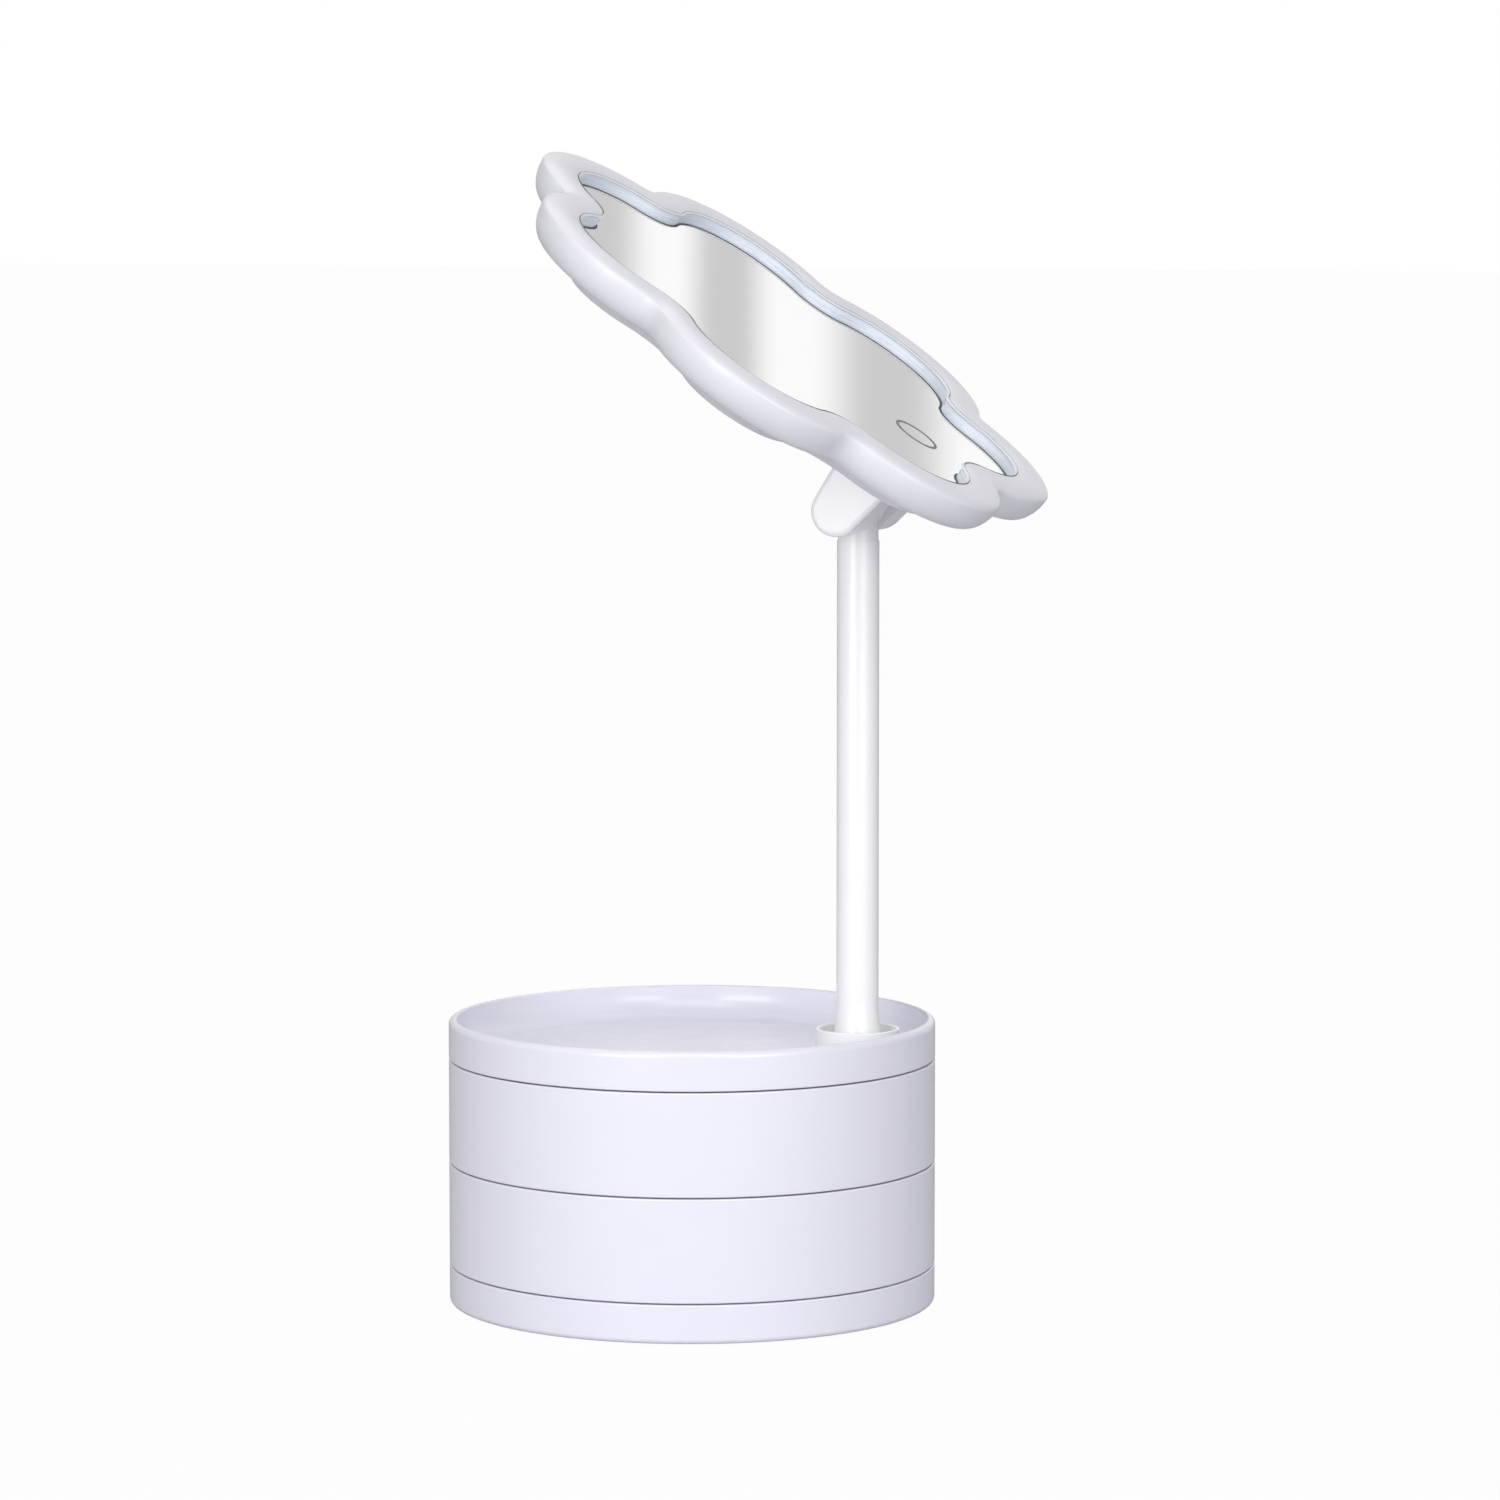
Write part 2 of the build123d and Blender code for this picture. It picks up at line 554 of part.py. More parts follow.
def hinge_bracket():
    """Two thick ears on a foot plate, with the slot for the pole's eye between them."""
    profile = ear_profile()
    # profile x runs along the mirror, profile y out of it, and the ears run along X
    ears = extrude(profile, amount=BRACKET_HALF_W, both=True)
    ears = Pos(0, -HINGE_DROP, -HINGE_BACK) * Rot(0, 0, 90) * Rot(90, 0, 0) * ears
    ends = [e for e in ears.edges() if abs(abs(e.center().X) - BRACKET_HALF_W) < SAME
            and e.center().Z < PLATEAU_Z - SAME]
    ears = fillet(ends, EAR_EDGE)
    slot_low = -HINGE_BACK - 2 * EAR_R
    slot_high = PLATEAU_Z - FLANGE_PLATE_T
    ears -= Pos(0, -HINGE_DROP, 0) * block(2 * SLOT_HALF, 2 * HINGE_BACK, slot_low, slot_high)
    bolt_from = -BOLT_END - PAST
    ears -= across(disc(BOLT_R + COUNTERSINK_GAP, bolt_from, BRACKET_HALF_W + PAST))
    seat = BRACKET_HALF_W - CAP_T - BOLT_HEAD_T
    ears -= across(disc(CAP_R + FIT, seat, BRACKET_HALF_W + PAST))
    ears -= across(hexagon(HINGE_NUT_AF + FIT, -SLOT_HALF - HINGE_NUT_T, -SLOT_HALF + PAST))
    for hole in bracket_screw_places(disc(SCREW_R, PLATEAU_Z - BRACKET_SCREW_L, PLATEAU_Z + PAST)):
        ears -= hole
    return ears


def bracket_screw_places(shape):
    """Four copies of a shape at the corners of the bracket's foot."""
    return [Pos(x, y - HINGE_DROP, 0) * shape
            for x in (-BRACKET_SCREW_X, BRACKET_SCREW_X) for y in (-BRACKET_SCREW_Y, BRACKET_SCREW_Y)]


def bracket_screws():
    """Screws from inside the rear cover into the bracket's ears."""
    body = turned([(0, REAR_INNER), (SCREW_HEAD_R, REAR_INNER), (SCREW_HEAD_R, REAR_INNER + SCREW_HEAD_T),
                   (0, REAR_INNER + SCREW_HEAD_T)])
    body += disc(SCREW_R, PLATEAU_Z - BRACKET_SCREW_L + SCREW_END, REAR_INNER)
    return bracket_screw_places(body)


def hinge_bolt():
    """Bolt through both ears and the pole's eye."""
    seat = BRACKET_HALF_W - CAP_T - BOLT_HEAD_T
    head = disc(BOLT_HEAD_R, seat, seat + BOLT_HEAD_T - COUNTERSINK_GAP)
    return across(disc(BOLT_R, -BOLT_END, seat) + head)


def hinge_nut():
    """Nut held in a pocket of the blind ear."""
    body = hexagon(HINGE_NUT_AF, -SLOT_HALF - HINGE_NUT_T, -SLOT_HALF)
    return across(body - disc(BOLT_R, -BOLT_END, 0))


def friction_washers():
    """Washers between the pole's eye and the ears."""
    return [across(ring(FRICTION_R, BOLT_R, low, low + FRICTION_T)) for low in (-SLOT_HALF, POLE_R)]


def hinge_cap():
    """Plug over the bolt's head."""
    return across(disc(CAP_R, BRACKET_HALF_W - CAP_T, BRACKET_HALF_W))


# ---------------------------------------------------------------- head, in its own frame
def front_bezel():
    """Puffy moulded rim of seven petals."""
    return petal_rim()


def mirror_glass():
    """Silvered glass cut to the petal outline."""
    return petal_plate(0, GLASS_BACK, 0)


def touch_mark():
    """Printed ring over the touch switch."""
    return Pos(0, -TOUCH_DROP, 0) * ring(TOUCH_R, TOUCH_R - TOUCH_LINE, 0, TOUCH_T)


def diffuser_ring():
    """Upright light strip between the glass and the rim's lip."""
    return petal_band(GLASS_GAP, GLASS_GAP + DIFFUSER_T, GLASS_BACK, LIP_UNDER)


def led_band():
    """Flexible circuit that follows the light strip."""
    return petal_band(LED_BAND_OUT, LED_BAND_OUT + LED_BAND_T, GLASS_BACK, GLASS_BACK + LED_BAND_H)


def led_chips():
    """Lamps on the band, each facing the light strip."""
    sweep, _ = petal_sweep(LED_BAND_OUT)
    chip = block(LED_T, LED_W, GLASS_BACK + LED_RISE, GLASS_BACK + LED_RISE + LED_H)
    seat = math.sqrt((PETAL_R + LED_BAND_OUT) ** 2 - (LED_W / 2) ** 2) - LED_T / 2
    chips = []
    for k in range(PETALS):
        for j in range(LEDS_PER_PETAL):
            angle = math.degrees(sweep) * (2 * j + 1 - LEDS_PER_PETAL) / LEDS_PER_PETAL * LED_SPREAD
            chips.append(Rot(0, 0, FIRST_PETAL + PETAL_STEP * k) * Pos(PETAL_C, 0, 0)
                         * Rot(0, 0, angle) * Pos(seat, 0, 0) * chip)
    return chips


def glass_carrier():
    """Plate that the glass is bonded to, with screw posts behind."""
    plate = petal_plate(CARRIER_EDGE_T, CARRIER_BACK, GLASS_BACK)
    post = disc(BOSS_R, REAR_INNER, CARRIER_BACK + CARRIER_T / 2)
    for post in spaced(post, PETALS, REAR_SCREW_R, FIRST_PETAL):
        plate += post
    for hole in spaced(disc(SCREW_R, REAR_INNER - PAST, CARRIER_BACK), PETALS, REAR_SCREW_R, FIRST_PETAL):
        plate -= hole
    for post in board_corners(disc(BOSS_R / 2, CARRIER_BACK - BOARD_STANDOFF, CARRIER_BACK + CARRIER_T / 2)):
        plate += post
    window = disc(TOUCH_PAD_R + ASSEMBLY, CARRIER_BACK - PAST, GLASS_BACK + PAST)
    return plate - Pos(0, -TOUCH_DROP, 0) * window


def board_corners(shape):
    """Four copies of a shape near the board's corners."""
    inset = BOSS_R
    return [Pos(x, BOARD_Y + y, 0) * shape for x in (-BOARD_W / 2 + inset, BOARD_W / 2 - inset)
            for y in (-BOARD_H / 2 + inset, BOARD_H / 2 - inset)]


def control_board():
    """Circuit board with a few taller components on its back."""
    front = CARRIER_BACK - BOARD_STANDOFF
    board = Pos(0, BOARD_Y, 0) * block(BOARD_W, BOARD_H, front - BOARD_T, front)
    for x, y, w, h, t in COMPONENTS:
        board += Pos(x, BOARD_Y + y, 0) * block(w, h, front - BOARD_T - t, front - BOARD_T / 2)
    return board


def battery_pack():
    """Flat rechargeable cell on the rear cover."""
    cell = Pos(0, BATTERY_Y, 0) * block(BATTERY_W, BATTERY_H, REAR_INNER, REAR_INNER + BATTERY_T)
    return fillet(cell.edges().filter_by(Axis.Z), BATTERY_CORNER_R)


def touch_pad():
    """Sensor disc behind the glass with its contact stem down to the board."""
    low = CARRIER_BACK - BOARD_STANDOFF
    pad = disc(TOUCH_PAD_R, GLASS_BACK - TOUCH_PAD_T, GLASS_BACK) + disc(TOUCH_STEM_R, low, GLASS_BACK)
    return Pos(0, -TOUCH_DROP, 0) * pad


def usb_socket():
    """Charging socket that opens in the rear cover."""
    deep = CARRIER_BACK - BOARD_STANDOFF - BOARD_T
    shape = SlotOverall(USB_W, USB_H)
    hollow = SlotOverall(USB_W - 2 * USB_WALL, USB_H - 2 * USB_WALL)
    body = extrude(shape, amount=deep - PLATEAU_Z)
    body -= Pos(0, 0, -PAST) * extrude(hollow, amount=deep - PLATEAU_Z)
    tongue = block(USB_TONGUE_W, USB_TONGUE_T, USB_TONGUE_SHORT, deep - PLATEAU_Z - USB_WALL)
    return Pos(0, USB_Y, PLATEAU_Z) * (body + tongue)


def rear_cover():
    """Back of the head: a rim plate with a raised petal-shaped housing."""
    edge = BACK_T - REAR_SEAT - ASSEMBLY
    cover = petal_plate(edge, BACK_Z, BACK_Z + REAR_T)
    cover += loft([flower(PLATEAU_FOOT_T, BACK_Z + REAR_T / 2), flower(PLATEAU_TOP_T, PLATEAU_Z)], ruled=True)
    cover -= loft([flower(PLATEAU_FOOT_T - REAR_T, BACK_Z + REAR_T + COUNTERSINK_GAP / 10),
                   flower(PLATEAU_TOP_T - REAR_T, REAR_INNER)], ruled=True)
    for hole in spaced(screw_hole(PLATEAU_Z, REAR_T + PAST), PETALS, REAR_SCREW_R, FIRST_PETAL):
        cover -= hole
    for hole in bracket_screw_places(disc(SCREW_R + COUNTERSINK_GAP, PLATEAU_Z - PAST, REAR_INNER + PAST)):
        cover -= hole
    slot = extrude(SlotOverall(USB_W + 2 * FIT, USB_H + 2 * FIT), amount=REAR_T + 2 * PAST)
    slot = Pos(0, USB_Y, PLATEAU_Z - PAST) * slot
    return cover - slot


def rear_screws():
    """Screws that hold the rear cover to the glass carrier, one behind each petal."""
    return spaced(screw(PLATEAU_Z, -PLATEAU_Z + CARRIER_BACK - SCREW_END), PETALS, REAR_SCREW_R, FIRST_PETAL)


BASE_PARTS = {
    "base_pad": base_pad,
    "base_shell": base_shell,
    "base_cover": base_cover,
    "base_screws": base_screws,
    "ballast_plate": ballast_plate,
    "pivot_sleeve": pivot_sleeve,
    "sleeve_nut": sleeve_nut,
    "glide_washers": glide_washers,
    "pole_collar": pole_collar,
    "thrust_washer": thrust_washer,
    "top_tray": top_tray,
    "drawer_lower": lambda: drawer(LOWER_LOW),
    "drawer_lower_bush": lambda: drawer_bush(LOWER_LOW),
    "drawer_upper": lambda: drawer(UPPER_LOW),
    "drawer_upper_bush": lambda: drawer_bush(UPPER_LOW),
    "pole_tube": pole_tube,
    "pole_core": pole_core,
    "pole_washer": pole_washer,
    "pole_nut": pole_nut,
    "pole_knuckle": pole_knuckle,
}

HEAD_PARTS = {
    "hinge_bracket": hinge_bracket,
    "bracket_screws": bracket_screws,
    "hinge_bolt": hinge_bolt,
    "hinge_nut": hinge_nut,
    "friction_washers": friction_washers,
    "hinge_cap": hinge_cap,
    "front_bezel": front_bezel,
    "mirror_glass": mirror_glass,
    "touch_mark": touch_mark,
    "diffuser_ring": diffuser_ring,
    "led_band": led_band,
    "led_chips": led_chips,
    "glass_carrier": glass_carrier,
    "control_board": control_board,
    "battery_pack": battery_pack,
    "touch_pad": touch_pad,
    "usb_socket": usb_socket,
    "rear_cover": rear_cover,
    "rear_screws": rear_screws,
}


def write(name, made, place):
    """Moves a sub-part to its place and writes its file."""
    solids = []
    for shape in made if isinstance(made, list) else [made]:
        solids += (place * shape).solids()
    export_step(solids[0] if len(solids) == 1 else Compound(children=solids), f"parts/{name}.step")


os.makedirs("parts", exist_ok=True)
for name, make in BASE_PARTS.items():
    write(name, make(), Location((0, 0, 0)))
for name, make in HEAD_PARTS.items():
    write(name, make(), HEAD)
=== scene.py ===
import logging
import math
from collections.abc import Mapping
from dataclasses import dataclass, field
from enum import Enum

import bmesh
import bpy
from mathutils import Matrix, Vector


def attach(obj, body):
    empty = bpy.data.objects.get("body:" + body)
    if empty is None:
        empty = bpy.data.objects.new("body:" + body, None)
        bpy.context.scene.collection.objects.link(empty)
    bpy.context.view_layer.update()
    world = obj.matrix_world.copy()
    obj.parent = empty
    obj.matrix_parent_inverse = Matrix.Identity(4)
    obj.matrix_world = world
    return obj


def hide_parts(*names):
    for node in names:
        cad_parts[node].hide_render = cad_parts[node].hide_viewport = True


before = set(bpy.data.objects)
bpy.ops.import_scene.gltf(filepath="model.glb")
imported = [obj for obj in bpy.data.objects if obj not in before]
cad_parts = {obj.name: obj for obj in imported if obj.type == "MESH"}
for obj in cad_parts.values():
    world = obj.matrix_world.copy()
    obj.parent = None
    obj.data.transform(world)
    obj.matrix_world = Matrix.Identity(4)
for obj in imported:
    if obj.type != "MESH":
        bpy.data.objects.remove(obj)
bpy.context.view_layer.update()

# A lit vanity mirror with a puffy seven-petal rim, which tilts on a pole over a round
# storage base with two swing-out drawers and an open tray. Metres, +Z up, the mirror
# looks towards -Y and up at rest.

log = logging.getLogger("vanity_mirror")
MM = 0.001
HEAD_TILT = math.radians(54.62)

Colour = tuple[float, float, float, float]
Corner = tuple[float, float]
Section = list[tuple[float, float, float]]


def linear(hex_colour: str) -> Colour:
    """Turns an sRGB hex colour into the linear colour that a shader socket takes.

    Args:
        hex_colour: colour such as "#EDECF7".

    Returns:
        Linear red, green, blue and an alpha of 1.
    """
    levels = [int(hex_colour[k:k + 2], 16) / 255 for k in (1, 3, 5)]
    return (*[v / 12.92 if v <= 0.04045 else ((v + 0.055) / 1.055) ** 2.4 for v in levels], 1.0)


def add_node(tree: bpy.types.NodeTree, kind: str, settings: Mapping[str | int, object] | None = None,
             links: Mapping[str | int, bpy.types.NodeSocket] | None = None) -> bpy.types.Node:
    """Adds a node with its settings and links.

    Args:
        tree: node tree that gets the node.
        kind: the node's type name.
        settings: value for each property, or for each input by name or number.
        links: output socket for each input by name or number.

    Returns:
        The new node.
    """
    node = tree.nodes.new(kind)
    for key, value in (settings or {}).items():
        if isinstance(key, str) and hasattr(node, key):
            setattr(node, key, value)
        else:
            node.inputs[key].default_value = value
    for key, socket in (links or {}).items():
        tree.links.new(socket, node.inputs[key])
    return node


def new_material(name: str) -> tuple[bpy.types.Material, bpy.types.NodeTree]:
    """Makes an empty node material.

    Args:
        name: the finish's own name.

    Returns:
        The material and its node tree.
    """
    material = bpy.data.materials.new(name)
    material.use_nodes = True
    material.node_tree.nodes.clear()
    return material, material.node_tree


# ------------------------------------------------------------------ finishes
@dataclass(frozen=True)
class MouldedPlastic:
    """Injection-moulded plastic: even colour with faint flow shading, and a polished or spark-eroded skin."""

    name: str
    shade: str
    flow_shade: str
    roughness: float
    haze: float
    ripple_mm: float
    ripple_depth_mm: float
    ior: float = 1.53
    flow_mm: float = 38.0
    grain_mm: float = 0.0
    grain_depth_mm: float = 0.0
    touch_mm: float = 14.0
    haze_from: float = 0.35
    haze_to: float = 0.7

    def build(self) -> bpy.types.Material:
        """Builds the material.

        Returns:
            The finished material.
        """
        material, tree = new_material(self.name)
        place = add_node(tree, "ShaderNodeTexCoord").outputs["Object"]
        flow = add_node(tree, "ShaderNodeTexNoise",
                        {"Scale": 1 / (self.flow_mm * MM), "Detail": 2.0, "Roughness": 0.4},
                        {"Vector": place})
        shade = add_node(tree, "ShaderNodeMix", {"data_type": "RGBA", 6: linear(self.shade),
                                                 7: linear(self.flow_shade)}, {0: flow.outputs["Fac"]})
        # Handling leaves soft patches of haze about the size of a fingertip on the gloss.
        touch = add_node(tree, "ShaderNodeTexNoise", {"Scale": 1 / (self.touch_mm * MM), "Detail": 3.0},
                         {"Vector": place})
        gloss = add_node(tree, "ShaderNodeMapRange",
                         {"From Min": self.haze_from, "From Max": self.haze_to,
                          "To Min": self.roughness, "To Max": self.roughness + self.haze},
                         {"Value": touch.outputs["Fac"]})
        ripple = add_node(tree, "ShaderNodeTexNoise", {"Scale": 1 / (self.ripple_mm * MM), "Detail": 1.0},
                          {"Vector": place})
        bump = add_node(tree, "ShaderNodeBump", {"Strength": 1.0, "Distance": self.ripple_depth_mm * MM},
                        {"Height": ripple.outputs["Fac"]})
        if self.grain_mm > 0:
            grain = add_node(tree, "ShaderNodeTexNoise", {"Scale": 1 / (self.grain_mm * MM), "Detail": 2.0},
                             {"Vector": place})
            bump = add_node(tree, "ShaderNodeBump", {"Strength": 1.0, "Distance": self.grain_depth_mm * MM},
                            {"Height": grain.outputs["Fac"], "Normal": bump.outputs["Normal"]})
        skin = add_node(tree, "ShaderNodeBsdfPrincipled", {"IOR": self.ior},
                        {"Base Color": shade.outputs[2], "Roughness": gloss.outputs["Result"],
                         "Normal": bump.outputs["Normal"]})
        add_node(tree, "ShaderNodeOutputMaterial", {}, {"Surface": skin.outputs["BSDF"]})
        return material


@dataclass(frozen=True)
class WorkedMetal:
    """Metal with the fine marks of how it was worked: turned rings, a rolled lay or a plated bloom."""

    name: str
    shade: str
    dull_shade: str
    roughness: float
    spread: float
    lay_mm: tuple[float, float, float]
    bloom_mm: float
    mark_depth_mm: float
    marks_from: float = 0.3
    marks_to: float = 0.7

    def build(self) -> bpy.types.Material:
        """Builds the material.

        Returns:
            The finished material.
        """
        material, tree = new_material(self.name)
        place = add_node(tree, "ShaderNodeTexCoord").outputs["Object"]
        lay = add_node(tree, "ShaderNodeMapping", {"Scale": tuple(1 / (v * MM) for v in self.lay_mm)},
                       {"Vector": place})
        marks = add_node(tree, "ShaderNodeTexNoise", {"Scale": 1.0, "Detail": 4.0},
                         {"Vector": lay.outputs[0]})
        bloom = add_node(tree, "ShaderNodeTexNoise", {"Scale": 1 / (self.bloom_mm * MM), "Detail": 3.0},
                         {"Vector": place})
        shade = add_node(tree, "ShaderNodeMix", {"data_type": "RGBA", 6: linear(self.shade),
                                                 7: linear(self.dull_shade)}, {0: bloom.outputs["Fac"]})
        gloss = add_node(tree, "ShaderNodeMapRange",
                         {"From Min": self.marks_from, "From Max": self.marks_to,
                          "To Min": self.roughness, "To Max": self.roughness + self.spread},
                         {"Value": marks.outputs["Fac"]})
        bump = add_node(tree, "ShaderNodeBump", {"Strength": 1.0, "Distance": self.mark_depth_mm * MM},
                        {"Height": marks.outputs["Fac"]})
        metal = add_node(tree, "ShaderNodeBsdfPrincipled", {"Metallic": 1.0},
                         {"Base Color": shade.outputs[2], "Roughness": gloss.outputs["Result"],
                          "Normal": bump.outputs["Normal"]})
        add_node(tree, "ShaderNodeOutputMaterial", {}, {"Surface": metal.outputs["BSDF"]})
        return material


@dataclass(frozen=True)
class SilveredGlass:
    """Float glass silvered on its back: a clean reflection with the faint film that wiping leaves."""

    name: str
    shade: str
    film_shade: str
    roughness: float
    wipe_mm: tuple[float, float, float] = (60.0, 20.0, 60.0)
    wipe_bend: float = 0.6

    def build(self) -> bpy.types.Material:
        """Builds the material.

        Returns:
            The finished material.
        """
        material, tree = new_material(self.name)
        place = add_node(tree, "ShaderNodeTexCoord").outputs["Object"]
        # Wiping leaves long faint arcs, about 20 mm apart.
        wiped = add_node(tree, "ShaderNodeMapping", {"Scale": tuple(1 / (v * MM) for v in self.wipe_mm)},
                         {"Vector": place})
        film = add_node(tree, "ShaderNodeTexNoise",
                        {"Scale": 1.0, "Detail": 3.0, "Distortion": self.wipe_bend},
                        {"Vector": wiped.outputs[0]})
        shade = add_node(tree, "ShaderNodeMix", {"data_type": "RGBA", 6: linear(self.shade),
                                                 7: linear(self.film_shade)}, {0: film.outputs["Fac"]})
        silver = add_node(tree, "ShaderNodeBsdfPrincipled", {"Metallic": 1.0, "Roughness": self.roughness},
                          {"Base Color": shade.outputs[2]})
        add_node(tree, "ShaderNodeOutputMaterial", {}, {"Surface": silver.outputs["BSDF"]})
        return material


@dataclass(frozen=True)
class LightGuide:
    """Milky acrylic that the lamps shine through: an even cool glow with faint streaks along the strip."""

    name: str
    shade: str
    glow: str
    glow_strength: float
    streak_mm: float
    streak_shade: str
    run_mm: float = 30.0
    streak_depth_mm: float = 0.01
    roughness: float = 0.32
    ior: float = 1.49

    def build(self) -> bpy.types.Material:
        """Builds the material.

        Returns:
            The finished material.
        """
        material, tree = new_material(self.name)
        place = add_node(tree, "ShaderNodeTexCoord").outputs["Object"]
        # The streaks run round the strip: the pattern is fine out of the glass and long along it.
        turned = add_node(tree, "ShaderNodeMapping", {"Rotation": (HEAD_TILT - math.pi / 2, 0, 0)},
                          {"Vector": place})
        drawn = add_node(tree, "ShaderNodeMapping",
                         {"Scale": tuple(1 / (v * MM) for v in (self.run_mm, self.run_mm, self.streak_mm))},
                         {"Vector": turned.outputs[0]})
        streaks = add_node(tree, "ShaderNodeTexNoise", {"Scale": 1.0, "Detail": 2.0},
                           {"Vector": drawn.outputs[0]})
        shade = add_node(tree, "ShaderNodeMix", {"data_type": "RGBA", 6: linear(self.shade),
                                                 7: linear(self.streak_shade)}, {0: streaks.outputs["Fac"]})
        bump = add_node(tree, "ShaderNodeBump", {"Strength": 0.4, "Distance": self.streak_depth_mm * MM},
                        {"Height": streaks.outputs["Fac"]})
        acrylic = add_node(tree, "ShaderNodeBsdfPrincipled",
                           {"IOR": self.ior, "Roughness": self.roughness,
                            "Emission Color": linear(self.glow), "Emission Strength": self.glow_strength},
                           {"Base Color": shade.outputs[2], "Normal": bump.outputs["Normal"]})
        add_node(tree, "ShaderNodeOutputMaterial", {}, {"Surface": acrylic.outputs["BSDF"]})
        return material


@dataclass(frozen=True)
class CellularSheet:
    """Cut closed-cell foam: a matt skin pitted by its cells, its colour darker towards the bottom of each pit
    as painted shade.
    """

    name: str
    shade: str
    painted_pit_shade: str
    cell_mm: float
    pit_share: float = 0.25
    roughness: float = 0.85
    sheen: float = 0.15

    def build(self) -> bpy.types.Material:
        """Builds the material.

        Returns:
            The finished material.
        """
        material, tree = new_material(self.name)
        place = add_node(tree, "ShaderNodeTexCoord").outputs["Object"]
        cells = add_node(tree, "ShaderNodeTexVoronoi", {"Scale": 1 / (self.cell_mm * MM)}, {"Vector": place})
        # Painted shade: the colour darkens towards the bottom of each cell's pit, where the bump sinks.
        shade = add_node(tree, "ShaderNodeMix", {"data_type": "RGBA", 6: linear(self.painted_pit_shade),
                                                 7: linear(self.shade)}, {0: cells.outputs["Distance"]})
        bump = add_node(tree, "ShaderNodeBump",
                        {"Strength": 1.0, "Distance": self.cell_mm * self.pit_share * MM},
                        {"Height": cells.outputs["Distance"]})
        foam = add_node(tree, "ShaderNodeBsdfPrincipled",
                        {"Roughness": self.roughness, "Sheen Weight": self.sheen},
                        {"Base Color": shade.outputs[2], "Normal": bump.outputs["Normal"]})
        add_node(tree, "ShaderNodeOutputMaterial", {}, {"Surface": foam.outputs["BSDF"]})
        return material


@dataclass(frozen=True)
class PrintedLayer:
    """Thin layer over a sheet, with a regular print: ink dots, copper tracks or the phosphor over a lamp."""

    name: str
    shade: str
    print_shade: str
    roughness: float
    pitch_mm: float
    share: float
    glow_strength: float = 0.0
    edge_softness: float = 0.4
    step_mm: float = 0.02

    def build(self) -> bpy.types.Material:
        """Builds the material.

        Returns:
            The finished material.
        """
        material, tree = new_material(self.name)
        place = add_node(tree, "ShaderNodeTexCoord").outputs["Object"]
        lines = add_node(tree, "ShaderNodeTexBrick",
                         {"Scale": 1 / (self.pitch_mm * MM), "Mortar Size": self.share,
                          "Mortar Smooth": self.edge_softness,
                          "Color1": linear(self.shade), "Color2": linear(self.shade),
                          "Mortar": linear(self.print_shade)}, {"Vector": place})
        bump = add_node(tree, "ShaderNodeBump", {"Strength": 0.5, "Distance": self.step_mm * MM},
                        {"Height": lines.outputs["Fac"]})
        layer = add_node(tree, "ShaderNodeBsdfPrincipled",
                         {"Roughness": self.roughness, "Emission Color": linear(self.shade),
                          "Emission Strength": self.glow_strength},
                         {"Base Color": lines.outputs["Color"], "Normal": bump.outputs["Normal"]})
        add_node(tree, "ShaderNodeOutputMaterial", {}, {"Surface": layer.outputs["BSDF"]})
        return material


